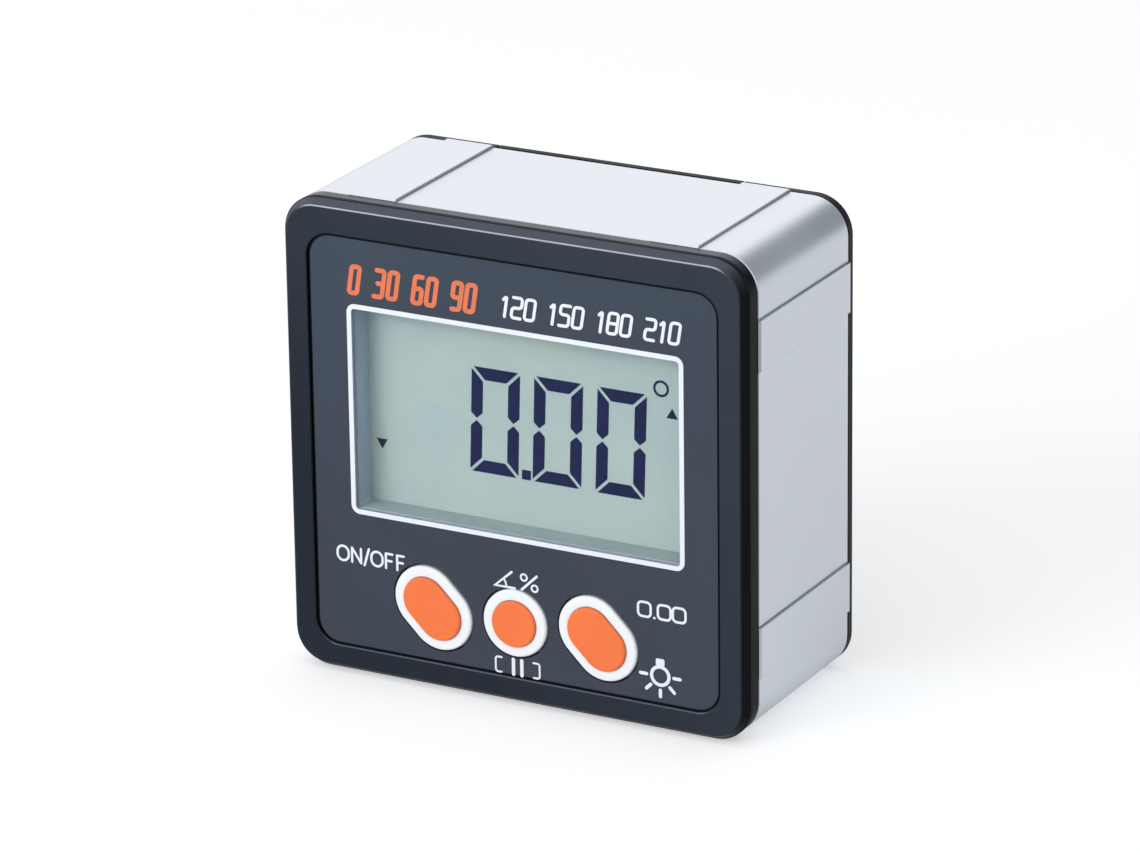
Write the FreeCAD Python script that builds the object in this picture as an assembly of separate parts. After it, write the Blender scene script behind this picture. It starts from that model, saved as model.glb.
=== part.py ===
import FreeCAD, Part
import math
import os

# Pocket inclinometer: a square aluminium ring between a black front bezel and a rear battery cover.
# All lengths are millimetres. While a piece is modelled, x runs to the right, y is the depth behind
# the bezel's front face and z is the height above the underside of the ring's plain outline. The
# finished pieces are moved together, so that the row's origin is the centre of the pads' bottom.

Vector = FreeCAD.Vector

# Housing outline, shared by the bezel, the ring frame and the rear cover
case_width = 60.0
corner_radius = 4.5
frame_wall = 2.0
frame_edge_bevel = 0.25

# Raised pads that run front to back along each side of the ring
pad_width = 6.0
pad_height = 0.3
pad_margin = 7.5
pad_side_slope = 0.06

# Magnets let into the base
magnet_radius = 4.0
magnet_thickness = 1.6
magnet_pitch = 11.0
magnet_count = 3
magnet_pocket_depth = 1.5
magnet_pocket_clearance = 0.05

# Front bezel
bezel_band = 3.2
bezel_front_wall = 2.0
bezel_bevel_width = 0.7
bezel_bevel_depth = 1.2
bezel_front_round = 0.45
bezel_line_depth = 0.15
bezel_line_width = 0.2
bezel_lip_length = 3.0
lip_thickness = 1.2
lip_clearance = 0.2
seat_clearance = 0.15

# Printed front panel, lying in a shallow recess of the bezel
panel_side_margin = 3.4
panel_foot_margin = 3.2
panel_head_margin = 3.9
panel_radius = 3.0
panel_recess_depth = 0.55
panel_mouth_bevel = 0.12
panel_thickness = 0.25

# Display window and the clear lens behind the panel
window_left_margin = 5.6
window_right_margin = 5.1
window_foot_margin = 17.45
window_head_margin = 8.75
window_radius = 0.45
lens_thickness = 0.5
lens_margin = 1.9

# Display module: holder, glass, light guide and rubber contact strips
display_depth = 4.1
holder_collar = 0.8
holder_lip = 0.15
holder_wall = 0.9
glass_pane = 1.0
glass_side_cover = 1.75
glass_end_cover = 1.95
glass_ledge = 2.1
guide_thickness = 3.0
guide_side_margin = 0.7
strip_thickness = 1.5
strip_end_margin = 3.0

# Side-view lamps that light the guide from its ends
lamp_width = 3.0
lamp_height = 1.2
lamp_thickness = 0.6
lamp_gap = 0.05

# Keys: white caps with orange faces, the outer two stretched along a diagonal
key_radius = 4.15
key_spread = 2.6
key_tilt = 45.0
key_pitch = 10.83
key_foot_margin = 6.8
key_clearance = 0.25
key_travel = 0.4
key_edge_round = 0.3
key_flange = 0.6
key_flange_thickness = 0.8
key_flange_gap = 0.3
key_wall = 1.0
key_web = 0.9
key_stem_radius = 1.5
face_radius = 2.85
face_height = 0.4
face_pocket_depth = 0.6
face_clearance = 0.05
face_edge_round = 0.25

# Tact switches on the board
switch_size = 6.0
switch_height = 3.5
switch_plunger_radius = 1.7
switch_plunger_reach = 1.4
switch_plunger_inside = 0.4
plunger_clearance = 0.1
switch_edge_bevel = 0.4
switch_leg_width = 0.7
switch_leg_inset = 0.75
switch_leg_rise = 0.8

# Main board and what is soldered on its rear
board_thickness = 1.6
board_margin = 0.5
board_corner_gap = 0.4
component_space = 3.8
chip_size = 10.0
chip_thickness = 1.4
chip_side_margin = 8.5
sensor_size = 5.0
sensor_thickness = 1.1
sensor_drop = 6.0
part_edge_bevel = 0.3

# Legs of the chip and the switches, folded from strip
leg_metal = 0.2
leg_shoulder = 0.5
leg_reach = 1.0
chip_leg_width = 0.4
chip_leg_pitch = 1.0
chip_leg_count = 8

# Screws and the bosses that they turn into
post_radius = 2.6
post_inset = 4.1
post_split_depth = 14.0
cover_screw_radius = 1.0
cover_screw_length = 18.0
cover_head_radius = 1.9
cover_head_height = 1.3
cover_head_depth = 2.0
head_clearance = 0.3
thread_clearance = 0.05
board_post_radius = 2.0
board_post_gap = 0.6
board_screw_radius = 0.8
board_screw_length = 5.0
board_head_radius = 1.6
board_head_height = 1.1
drive_slot_width = 0.5
drive_slot_depth = 0.6
drive_slot_share = 0.62

# Cells: two of the 10.5 by 44.5 mm size
cell_radius = 5.25
cell_length = 44.5
cell_nub_radius = 1.9
cell_nub_height = 1.0
cell_edge_bevel = 0.4
cell_gap = 0.4
cell_pitch_clearance = 0.4
contact_space = 2.3
bay_end_margin = 3.25

# Rear cover with its battery bay, and the sliding door
cover_flange = 1.3
cover_edge_bevel = 0.3
cover_lip_length = 3.0
bay_wall = 1.2
bay_rest_gap = 0.3
ledge_thickness = 1.2
ledge_margin = 1.2
door_width = 32.0
door_foot_z = 4.2
door_thickness = 1.1
door_gap = 0.2
door_travel = 5.0
door_edge_bevel = 0.25
hook_stem = 1.0
hook_reach = 1.3
hook_thickness = 1.0
hook_length = 4.0
hook_inset = 0.5
hook_gap = 0.3
hook_foot_margin = 9.8
hook_head_margin = 20.0
grip_count = 5
grip_pitch = 2.0
grip_width = 0.9
grip_length = 14.0
grip_depth = 0.35
grip_head_margin = 4.6

# Battery contacts, folded from strip
strip_metal = 0.4
contact_width = 7.0
contact_inset = 1.1
contact_seat = 0.02
tail_width = 2.0
tail_clearance = 0.2
lead_radius = 0.6
lead_run = 5.4
lead_drop = 9.0
lead_bend = 5.0
lead_seat = 0.02

# Overrun for cuts that must pass a face
overrun = 1.0

# How far from a plane an edge may lie and still count as in it
plane_tolerance = 0.001

# Depths worked out from the sizes above: the board lies behind the display and the cells behind the board
frame_front = bezel_band
glass_front = display_depth
glass_middle = glass_front + glass_pane
glass_rear = glass_middle + glass_pane
board_front = glass_rear + guide_thickness
board_rear = board_front + board_thickness
lens_rear = panel_recess_depth + lens_thickness
bay_floor = board_rear + component_space + bay_wall
cell_axis_depth = bay_floor + bay_rest_gap + cell_radius
door_front = cell_axis_depth + cell_radius + cell_gap
rear_face = door_front + door_thickness
frame_rear = rear_face - cover_flange
frame_depth = frame_rear - frame_front
head_seat = rear_face - cover_head_depth
front_shift = -(rear_face - face_height) / 2

# The housing is as tall as the cells in their bay need
bay_half_height = cell_length / 2 + contact_space
case_height = 2 * (bay_half_height + bay_wall + bay_end_margin)
case_centre_z = case_height / 2
bay_low_z = case_centre_z - bay_half_height
bay_high_z = case_centre_z + bay_half_height
inner_width = case_width - 2 * frame_wall
inner_height = case_height - 2 * frame_wall
inner_radius = corner_radius - frame_wall
lip_width = inner_width - 2 * lip_clearance
lip_height = inner_height - 2 * lip_clearance
lip_radius = inner_radius - lip_clearance

# Panel, window and what lies behind it
panel_width = case_width - 2 * panel_side_margin
panel_height = case_height - panel_foot_margin - panel_head_margin
panel_centre_z = panel_foot_margin + panel_height / 2
window_width = panel_width - window_left_margin - window_right_margin
window_height = panel_height - window_foot_margin - window_head_margin
window_centre_x = (window_left_margin - window_right_margin) / 2
window_centre_z = panel_foot_margin + window_foot_margin + window_height / 2
lens_width = window_width + 2 * lens_margin
lens_height = window_height + 2 * lens_margin
glass_width = window_width + 2 * glass_side_cover
glass_height = window_height + 2 * glass_end_cover
rear_pane_height = glass_height - 2 * glass_ledge
guide_width = glass_width - 2 * guide_side_margin
strip_length = glass_width - 2 * strip_end_margin
holder_width = glass_width + 2 * (seat_clearance + holder_wall)
holder_height = glass_height + 2 * (seat_clearance + holder_wall)

# Keys and their switches
key_centre_z = panel_foot_margin + key_foot_margin
switch_face = board_front - switch_height
plunger_front = switch_face - switch_plunger_reach
switch_bore_floor = switch_face + switch_plunger_inside + key_travel + plunger_clearance
flange_front = bezel_front_wall + key_flange_gap

# Screw posts: those of the board stand beside those of the rear cover
post_x = case_width / 2 - frame_wall - post_inset
post_low_z = frame_wall + post_inset
post_high_z = case_height - frame_wall - post_inset
post_step = post_radius + board_post_radius + board_post_gap
board_width = inner_width - 2 * board_margin
board_height = inner_height - 2 * board_margin
chip_x = board_width / 2 - chip_side_margin

# Battery bay and door
cell_x = cell_radius + cell_gap / 2
bay_half_width = 2 * cell_radius + cell_gap / 2 + cell_pitch_clearance
hook_x = bay_half_width + bay_wall + hook_inset
hook_low_z = door_foot_z + hook_foot_margin
hook_high_z = case_height - hook_head_margin


def box(x_low, x_high, y_low, y_high, z_low, z_high):
    """A block between two corners."""
    corner = Vector(x_low, y_low, z_low)
    return Part.makeBox(x_high - x_low, y_high - y_low, z_high - z_low, corner)


def rod(radius, y_low, y_high, x, z):
    """A round bar along the depth."""
    return Part.makeCylinder(radius, y_high - y_low, Vector(x, y_low, z), Vector(0, 1, 0))


def prism(corners, length):
    """A straight bar whose end is the outline through the corners."""
    return Part.Face(Part.makePolygon(corners + corners[:1])).extrude(length)


def joined(shapes):
    """One solid from shapes that touch or overlap."""
    first, *others = shapes
    return first.fuse(others).removeSplitter() if others else first


def group(shapes):
    """Separate solids kept together in one piece."""
    return Part.makeCompound(shapes)


def outline(width, height, radius, y, x=0.0, z=case_centre_z):
    """A rectangle with round corners, as a closed wire across the depth."""
    edges = []
    last = None
    first = None
    for quarter, (side, rise) in enumerate(((1, 1), (-1, 1), (-1, -1), (1, -1))):
        centre_x = x + side * (width / 2 - radius)
        centre_z = z + rise * (height / 2 - radius)
        start = quarter * math.pi / 2
        points = []
        for step in range(3):
            angle = start + step * math.pi / 4
            swing = Vector(math.cos(angle), 0, math.sin(angle)) * radius
            points.append(Vector(centre_x, y, centre_z) + swing)
        if last is not None:
            edges.append(Part.LineSegment(last, points[0]).toShape())
        else:
            first = points[0]
        edges.append(Part.Arc(*points).toShape())
        last = points[-1]
    edges.append(Part.LineSegment(last, first).toShape())
    return Part.Wire(edges)


def slab(width, height, radius, y_low, y_high, x=0.0, z=case_centre_z):
    """A plate with round corners, between two depths."""
    face = Part.Face(outline(width, height, radius, y_low, x, z))
    return face.extrude(Vector(0, y_high - y_low, 0))


def edges_at_depth(shape, y):
    """The edges of a shape that lie in one plane across the depth."""
    found = []
    for edge in shape.Edges:
        limits = edge.BoundBox
        flat = limits.YLength < plane_tolerance
        if flat and abs(limits.YMin - y) < plane_tolerance:
            found.append(edge)
    return found


def capsule(radius, spread, y_low, y_high, x, z):
    """A bar along the depth whose section is a circle stretched along the keys' diagonal."""
    if spread == 0:
        return rod(radius, y_low, y_high, x, z)
    angle = math.radians(key_tilt)
    along = Vector(math.cos(angle), 0, -math.sin(angle))
    across = Vector(math.sin(angle), 0, math.cos(angle))
    middle = Vector(x, y_low, z)
    head = middle + along * (spread / 2)
    tail = middle - along * (spread / 2)
    edges = [
        Part.Arc(head + across * radius, head + along * radius, head - across * radius).toShape(),
        Part.LineSegment(head - across * radius, tail - across * radius).toShape(),
        Part.Arc(tail - across * radius, tail - along * radius, tail + across * radius).toShape(),
        Part.LineSegment(tail + across * radius, head + across * radius).toShape(),
    ]
    return Part.Face(Part.Wire(edges)).extrude(Vector(0, y_high - y_low, 0))


def key_places():
    """Name, centre and stretch of each key."""
    return (("power", -key_pitch, key_spread), ("hold", 0.0, 0.0), ("zero", key_pitch, key_spread))


def cover_screw_places():
    """Axes of the screws that hold the rear cover to the bezel."""
    return [(side * post_x, z) for side in (-1, 1) for z in (post_low_z, post_high_z)]


def board_screw_places():
    """Axes of the screws that hold the board to the bezel."""
    low = [(side * post_x, post_low_z + post_step) for side in (-1, 1)]
    return low + [(side * (post_x - post_step), post_high_z) for side in (-1, 1)]


def ring_frame():
    """Aluminium ring with two raised pads on each side and magnet pockets in its base."""
    body = slab(case_width, case_height, corner_radius, frame_front, frame_rear)
    ends = edges_at_depth(body, frame_front) + edges_at_depth(body, frame_rear)
    shapes = [body.makeChamfer(frame_edge_bevel, ends)]
    sides = ((case_width, case_height), (case_height, case_width)) * 2
    centre = Vector(0, 0, case_centre_z)
    for turn, (length, across) in enumerate(sides):
        for end in (-1, 1):
            pad = reference_pad(end * (length / 2 - pad_margin - pad_width / 2), across / 2)
            pad.rotate(centre, Vector(0, 1, 0), turn * 90)
            shapes.append(pad)
    ring = joined(shapes)
    ring = ring.cut(slab(inner_width, inner_height, inner_radius, frame_front, frame_rear))
    for x, y in magnet_places():
        pocket = Part.makeCylinder(magnet_radius + magnet_pocket_clearance, magnet_pocket_depth + overrun,
                                   Vector(x, y, -overrun), Vector(0, 0, 1))
        ring = ring.cut(pocket)
    return ring


def reference_pad(middle, base):
    """A raised pad on the top side, running front to back, with its ends bevelled like the ring's."""
    sunk = base - frame_wall / 2
    crest = base + pad_height
    shoulder = crest - frame_edge_bevel
    half = pad_width / 2
    root = half + pad_side_slope
    across = [(-root, sunk), (-root, base), (-half, crest), (half, crest), (root, base), (root, sunk)]
    bar = [Vector(middle + along, frame_front, case_centre_z + rise) for along, rise in across]
    along = [(frame_front, sunk), (frame_front, shoulder), (frame_front + frame_edge_bevel, crest),
             (frame_rear - frame_edge_bevel, crest), (frame_rear, shoulder), (frame_rear, sunk)]
    ends = [Vector(middle - root, depth, case_centre_z + rise) for depth, rise in along]
    return prism(bar, Vector(0, frame_depth, 0)).common(prism(ends, Vector(2 * root, 0, 0)))


def magnet_places():
    """Centres of the base magnets, in a row along the width."""
    middle = (magnet_count - 1) / 2
    depth = frame_front + frame_depth / 2
    return [((index - middle) * magnet_pitch, depth) for index in range(magnet_count)]


def base_magnets():
    """Round magnets, a little below the pads' plane."""
    top = magnet_pocket_depth
    magnets = []
    for x, y in magnet_places():
        foot = Vector(x, y, top - magnet_thickness)
        magnets.append(Part.makeCylinder(magnet_radius, magnet_thickness, foot, Vector(0, 0, 1)))
    return group(magnets)


def front_bezel():
    """Moulded front: bevelled rim, panel recess, window, key openings, locating lip and screw posts."""
    front = outline(case_width - 2 * bezel_bevel_width, case_height - 2 * bezel_bevel_width,
                    corner_radius - bezel_bevel_width, 0)
    shoulder = outline(case_width, case_height, corner_radius, bezel_bevel_depth)
    nose = Part.makeLoft([front, shoulder], True, True)
    nose = nose.makeFillet(bezel_front_round, edges_at_depth(nose, 0))
    band = slab(case_width, case_height, corner_radius, bezel_bevel_depth, bezel_band)
    lip = slab(lip_width, lip_height, lip_radius, bezel_band, bezel_band + bezel_lip_length)
    body = joined([nose, band, lip])

    line_low = bezel_bevel_depth
    line_high = line_low + bezel_line_width
    line = slab(case_width + overrun, case_height + overrun, corner_radius, line_low, line_high)
    core = slab(case_width - 2 * bezel_line_depth, case_height - 2 * bezel_line_depth,
                corner_radius - bezel_line_depth, line_low, line_high)
    body = body.cut(line.cut(core))

    body = body.cut(inside_lip(bezel_front_wall, bezel_band + bezel_lip_length))

    recess = slab(panel_width, panel_height, panel_radius, -overrun, panel_recess_depth, z=panel_centre_z)
    flare = 2 * panel_mouth_bevel
    mouth = Part.makeLoft([
        outline(panel_width + 2 * flare, panel_height + 2 * flare, panel_radius + flare,
                -panel_mouth_bevel, z=panel_centre_z),
        outline(panel_width, panel_height, panel_radius, panel_mouth_bevel, z=panel_centre_z),
    ], True, True)
    lens_seat = slab(lens_width + 2 * seat_clearance, lens_height + 2 * seat_clearance,
                     lens_margin, 0, lens_rear, window_centre_x, window_centre_z)
    collar = holder_collar + seat_clearance
    opening = slab(window_width + 2 * collar, window_height + 2 * collar, window_radius + collar,
                   0, bezel_front_wall + overrun, window_centre_x, window_centre_z)
    body = body.cut(joined([recess, mouth, lens_seat, opening]))

    for _, x, spread in key_places():
        body = body.cut(capsule(key_radius + key_clearance, spread, 0, bezel_front_wall, x, key_centre_z))

    for x, z in cover_screw_places():
        body = body.fuse(rod(post_radius, bezel_front_wall, post_split_depth, x, z))
    for x, z in board_screw_places():
        body = body.fuse(rod(board_post_radius, bezel_front_wall, board_front, x, z))
    body = body.removeSplitter()
    floor = head_seat - cover_screw_length - thread_clearance
    for x, z in cover_screw_places():
        body = body.cut(rod(cover_screw_radius + thread_clearance, floor, post_split_depth, x, z))
    floor = board_rear - board_screw_length - thread_clearance
    for x, z in board_screw_places():
        body = body.cut(rod(board_screw_radius + thread_clearance, floor, board_front, x, z))
    return body


def inside_lip(y_low, y_high):
    """The space inside the locating lips."""
    return slab(lip_width - 2 * lip_thickness, lip_height - 2 * lip_thickness, lip_radius - lip_thickness,
                y_low, y_high)


def panel_overlay():
    """Printed panel with its window and key openings."""
    panel = slab(panel_width - 2 * seat_clearance, panel_height - 2 * seat_clearance,
                 panel_radius - seat_clearance, panel_recess_depth - panel_thickness, panel_recess_depth,
                 z=panel_centre_z)
    window = slab(window_width, window_height, window_radius, 0, panel_recess_depth,
                  window_centre_x, window_centre_z)
    panel = panel.cut(window)
    for _, x, spread in key_places():
        opening = capsule(key_radius + key_clearance, spread, 0, panel_recess_depth, x, key_centre_z)
        panel = panel.cut(opening)
    return panel


def display_lens():
    """Clear plate behind the panel's window."""
    return slab(lens_width, lens_height, lens_margin - seat_clearance, panel_recess_depth, lens_rear,
                window_centre_x, window_centre_z)


def display_holder():
    """Grey frame that lines the window and carries the glass and the light guide."""
    x, z = window_centre_x, window_centre_z
    collar = slab(window_width + 2 * holder_collar, window_height + 2 * holder_collar,
                  window_radius + holder_collar, lens_rear, bezel_front_wall, x, z)
    block = box(x - holder_width / 2, x + holder_width / 2, bezel_front_wall, board_front,
                z - holder_height / 2, z + holder_height / 2)
    half_width = glass_width / 2 + seat_clearance
    half_height = glass_height / 2 + seat_clearance
    inside = box(x - half_width, x + half_width, glass_front, board_front, z - half_height, z + half_height)
    window = slab(window_width - 2 * holder_lip, window_height - 2 * holder_lip, window_radius,
                  0, glass_front + overrun, x, z)
    return joined([collar, block]).cut(inside).cut(window)


def display_glass():
    """Two bonded panes, the front one taller, which leaves the ledges for the contact strips."""
    x, z = window_centre_x, window_centre_z
    front = box(x - glass_width / 2, x + glass_width / 2, glass_front, glass_middle,
                z - glass_height / 2, z + glass_height / 2)
    rear = box(x - glass_width / 2, x + glass_width / 2, glass_middle, glass_rear,
               z - rear_pane_height / 2, z + rear_pane_height / 2)
    return joined([front, rear])


def light_guide():
    """Milky plate that lights the display from behind."""
    x, z = window_centre_x, window_centre_z
    return box(x - guide_width / 2, x + guide_width / 2, glass_rear, board_front,
               z - rear_pane_height / 2, z + rear_pane_height / 2)


def backlight_lamps():
    """Lamps on the board that shine into the light guide's two ends."""
    lamps = []
    for side in (-1, 1):
        near = window_centre_x + side * (guide_width / 2 + lamp_gap)
        far = near + side * lamp_thickness
        lamps.append(box(min(near, far), max(near, far), board_front - lamp_height, board_front,
                         window_centre_z - lamp_width / 2, window_centre_z + lamp_width / 2))
    return group(lamps)


def contact_strips():
    """Rubber strips that join the glass to the board, above and below the light guide."""
    strips = []
    for side in (-1, 1):
        z = window_centre_z + side * (rear_pane_height + glass_ledge) / 2
        strips.append(box(window_centre_x - strip_length / 2, window_centre_x + strip_length / 2,
                          glass_middle, board_front, z - strip_thickness / 2, z + strip_thickness / 2))
    return group(strips)


def key_cap(x, spread):
    """White key with a pocket for its face, a hollow rear, a stem and a flange that holds it in."""
    cap = capsule(key_radius, spread, 0, flange_front, x, key_centre_z)
    cap = cap.makeFillet(key_edge_round, edges_at_depth(cap, 0))
    flange_rear = flange_front + key_flange_thickness
    flange = capsule(key_radius + key_flange, spread, flange_front, flange_rear, x, key_centre_z)
    cap = joined([cap, flange])
    pocket = capsule(face_radius + face_clearance, spread, -overrun, face_pocket_depth, x, key_centre_z)
    cap = cap.cut(pocket)
    web_rear = face_pocket_depth + key_web
    hollow = capsule(key_radius - key_wall, spread, web_rear, flange_rear, x, key_centre_z)
    stem = rod(key_stem_radius, web_rear, plunger_front, x, key_centre_z)
    return cap.cut(hollow).fuse(stem).removeSplitter()


def key_face(x, spread):
    """Orange face of a key, a little proud of its cap."""
    face = capsule(face_radius, spread, -face_height, face_pocket_depth, x, key_centre_z)
    return face.makeFillet(face_edge_round, edges_at_depth(face, -face_height))


def key_plunger(x):
    """Plunger of the switch behind a key."""
    return rod(switch_plunger_radius, plunger_front, switch_face + switch_plunger_inside, x, key_centre_z)


def switch_bodies():
    """Tact switches on the board, one behind each key."""
    bodies = []
    half = switch_size / 2
    for _, x, _ in key_places():
        body = box(x - half, x + half, switch_face, board_front, key_centre_z - half, key_centre_z + half)
        body = body.makeChamfer(switch_edge_bevel, edges_at_depth(body, switch_face))
        radius = switch_plunger_radius + plunger_clearance
        bodies.append(body.cut(rod(radius, switch_face, switch_bore_floor, x, key_centre_z)))
    return group(bodies)


def folded_legs(size, width, rise, offsets, turns, board_face, away, x, z):
    """Legs that leave a square body at one height and stand on the board beside it.

    The offsets are along a side, the turns are quarter turns round the body, and away is 1 where the
    body stands on the board's rear and -1 where it stands on its front."""
    inner = leg_shoulder - leg_metal
    section = [(0, rise), (inner, rise), (inner, 0), (leg_reach, 0), (leg_reach, leg_metal),
               (leg_shoulder, leg_metal), (leg_shoulder, rise + leg_metal), (0, rise + leg_metal)]
    legs = []
    for turn in turns:
        for offset in offsets:
            start = offset - width / 2
            corners = [Vector(size / 2 + out, board_face + away * up, start) for out, up in section]
            leg = prism(corners, Vector(0, 0, width))
            leg.rotate(Vector(0, 0, 0), Vector(0, 1, 0), turn * 90)
            leg.translate(Vector(x, 0, z))
            legs.append(leg)
    return legs


def switch_legs():
    """Four legs on each switch, two to the left and two to the right."""
    offset = switch_size / 2 - switch_leg_inset
    legs = []
    for _, x, _ in key_places():
        legs += folded_legs(switch_size, switch_leg_width, switch_leg_rise, (-offset, offset), (0, 2),
                            board_front, -1, x, key_centre_z)
    return group(legs)


def chip_legs():
    """A row of legs on each side of the controller chip."""
    middle = (chip_leg_count - 1) / 2
    offsets = [(index - middle) * chip_leg_pitch for index in range(chip_leg_count)]
    rise = (chip_thickness - leg_metal) / 2
    return group(folded_legs(chip_size, chip_leg_width, rise, offsets, range(4), board_rear, 1,
                             chip_x, window_centre_z))


def main_board():
    """Circuit board with corner notches round the screw posts."""
    low, high = case_centre_z - board_height / 2, case_centre_z + board_height / 2
    board = box(-board_width / 2, board_width / 2, board_front, board_rear, low, high)
    reach = post_radius + board_corner_gap
    for side in (-1, 1):
        for z_low, z_high in ((low - overrun, post_low_z + reach), (post_high_z - reach, high + overrun)):
            board = board.cut(mirrored_box(side, post_x - reach, board_width / 2 + overrun,
                                           board_front, board_rear, z_low, z_high))
    for x, z in board_screw_places():
        board = board.cut(rod(board_screw_radius + thread_clearance, board_front, board_rear, x, z))
    return board


def chip(size, thickness, x, z):
    """A square chip on the rear of the board."""
    half = size / 2
    body = box(x - half, x + half, board_rear, board_rear + thickness, z - half, z + half)
    return body.makeChamfer(part_edge_bevel, edges_at_depth(body, board_rear + thickness))


def screw(radius, length, head_radius, head_height, seat, x, z):
    """A cross-head screw whose head rests on the seat, with its point to the front."""
    shank = rod(radius, seat - length, seat, x, z)
    head = rod(head_radius, seat, seat + head_height, x, z)
    body = joined([shank, head])
    reach = head_radius * drive_slot_share
    half = drive_slot_width / 2
    bottom = seat + head_height - drive_slot_depth
    top = seat + head_height + overrun
    body = body.cut(box(x - reach, x + reach, bottom, top, z - half, z + half))
    return body.cut(box(x - half, x + half, bottom, top, z - reach, z + reach))


def cover_screws():
    """Long screws from the rear cover into the bezel's posts."""
    screws = []
    for x, z in cover_screw_places():
        screws.append(screw(cover_screw_radius, cover_screw_length, cover_head_radius, cover_head_height,
                            head_seat, x, z))
    return group(screws)


def board_screws():
    """Short screws that hold the board on the bezel's posts."""
    screws = []
    for x, z in board_screw_places():
        screws.append(screw(board_screw_radius, board_screw_length, board_head_radius, board_head_height,
                            board_rear, x, z))
    return group(screws)


def rear_cover():
    """Rear cover: flush plate, lip, screw tubes, battery bay and the slotted ledges under the door."""
    plate = slab(case_width, case_height, corner_radius, frame_rear, rear_face)
    plate = plate.makeChamfer(cover_edge_bevel, edges_at_depth(plate, rear_face))
    lip = slab(lip_width, lip_height, lip_radius, frame_rear - cover_lip_length, frame_rear)
    lip = lip.cut(inside_lip(frame_rear - cover_lip_length, frame_rear))
    bay_x = bay_half_width + bay_wall
    bay = box(-bay_x, bay_x, bay_floor - bay_wall, frame_rear, bay_low_z - bay_wall, bay_high_z + bay_wall)
    ledge_x = door_width / 2 + ledge_margin
    ledge = box(-ledge_x, ledge_x, frame_rear - ledge_thickness, frame_rear,
                case_centre_z - lip_height / 2, case_centre_z + lip_height / 2)
    shapes = [plate, lip, bay, ledge]
    for x, z in cover_screw_places():
        shapes.append(rod(post_radius, post_split_depth, frame_rear, x, z))
    cover = joined(shapes)

    cover = cover.cut(box(-bay_half_width, bay_half_width, bay_floor, rear_face, bay_low_z, bay_high_z))
    opening = door_width / 2 + door_gap
    cover = cover.cut(box(-opening, opening, frame_rear, rear_face, door_foot_z - door_gap,
                          case_height + overrun))
    for x, z in cover_screw_places():
        cover = cover.cut(rod(cover_head_radius + head_clearance, head_seat, rear_face, x, z))
        cover = cover.cut(rod(cover_screw_radius + thread_clearance, post_split_depth, head_seat, x, z))
    for side, low in hook_places():
        cover = cover.cut(hook_slot(side, low))
    for x in (-cell_x, cell_x):
        cover = cover.cut(tail_slot(x))
    return cover


def hook_places():
    """Side and lower end of each of the door's hooks."""
    return [(side, low) for side in (-1, 1) for low in (hook_low_z, hook_high_z)]


def mirrored_box(side, x_near, x_far, y_low, y_high, z_low, z_high):
    """A block on the left or right side, given by distances from the middle plane."""
    near, far = side * x_near, side * x_far
    return box(min(near, far), max(near, far), y_low, y_high, z_low, z_high)


def hook_slot(side, low):
    """Slot in the ledge: narrow where a hook holds, wide where the door lifts off."""
    y_low = frame_rear - ledge_thickness
    inner = hook_x - hook_gap
    outer = hook_x + hook_stem + hook_gap
    release = low + hook_length + hook_gap
    top = release + door_travel
    narrow = mirrored_box(side, inner, outer, y_low, frame_rear, low - hook_gap, top)
    wide = mirrored_box(side, inner, outer + hook_reach, y_low, frame_rear, release, top)
    return joined([narrow, wide])


def battery_door():
    """Sliding door with four hooks under the ledges and a ribbed thumb grip."""
    half = door_width / 2
    door = box(-half, half, door_front, rear_face, door_foot_z, case_height)
    door = door.makeChamfer(door_edge_bevel, edges_at_depth(door, rear_face))
    shapes = [door]
    foot_rear = frame_rear - ledge_thickness - hook_gap
    foot_front = foot_rear - hook_thickness
    stem_far = hook_x + hook_stem
    for side, low in hook_places():
        high = low + hook_length
        shapes.append(mirrored_box(side, hook_x, stem_far, foot_front, door_front, low, high))
        shapes.append(mirrored_box(side, hook_x, stem_far + hook_reach, foot_front, foot_rear, low, high))
    door = joined(shapes)
    for index in range(grip_count):
        high = case_height - grip_head_margin - index * grip_pitch
        door = door.cut(box(-grip_length / 2, grip_length / 2, rear_face - grip_depth, rear_face + overrun,
                            high - grip_width, high))
    return door


def cell(x, up):
    """A cell standing in the bay, with its nub up or down."""
    shoulder = cell_length - cell_nub_height
    body = Part.makeCylinder(cell_radius, shoulder)
    rims = [edge for edge in body.Edges if len(edge.Vertexes) == 1]
    body = body.makeChamfer(cell_edge_bevel, rims)
    nub = Part.makeCylinder(cell_nub_radius, cell_nub_height, Vector(0, 0, shoulder))
    body = joined([body, nub])
    body.translate(Vector(0, 0, -cell_length / 2))
    if not up:
        body.rotate(Vector(0, 0, 0), Vector(0, 1, 0), 180)
    body.translate(Vector(x, cell_axis_depth, case_centre_z))
    return body


def tail_slot(x):
    """Slot in the bay's floor for a contact's tail."""
    half = tail_width / 2 + tail_clearance
    return box(x - half, x + half, bay_floor - bay_wall - overrun, bay_floor + overrun,
               bay_high_z - strip_metal - tail_clearance, bay_high_z)


def leaf_profile(x_low, x_high, end_z, inward):
    """A bowed leaf that presses on a cell's flat end: a folded strip, drawn across the bay's depth."""
    low = cell_axis_depth - cell_radius + contact_inset
    high = cell_axis_depth + cell_radius - contact_inset
    reach = contact_space - strip_metal - contact_seat
    outer = [Vector(x_low, low, end_z), Vector(x_low, cell_axis_depth, end_z + inward * reach),
             Vector(x_low, high, end_z)]
    shift = Vector(0, 0, inward * strip_metal)
    inner = [point + shift for point in outer]
    edges = [
        Part.Arc(*outer).toShape(),
        Part.LineSegment(outer[-1], inner[-1]).toShape(),
        Part.Arc(*reversed(inner)).toShape(),
        Part.LineSegment(inner[0], outer[0]).toShape(),
    ]
    return Part.Face(Part.Wire(edges)).extrude(Vector(x_high - x_low, 0, 0))


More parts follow.
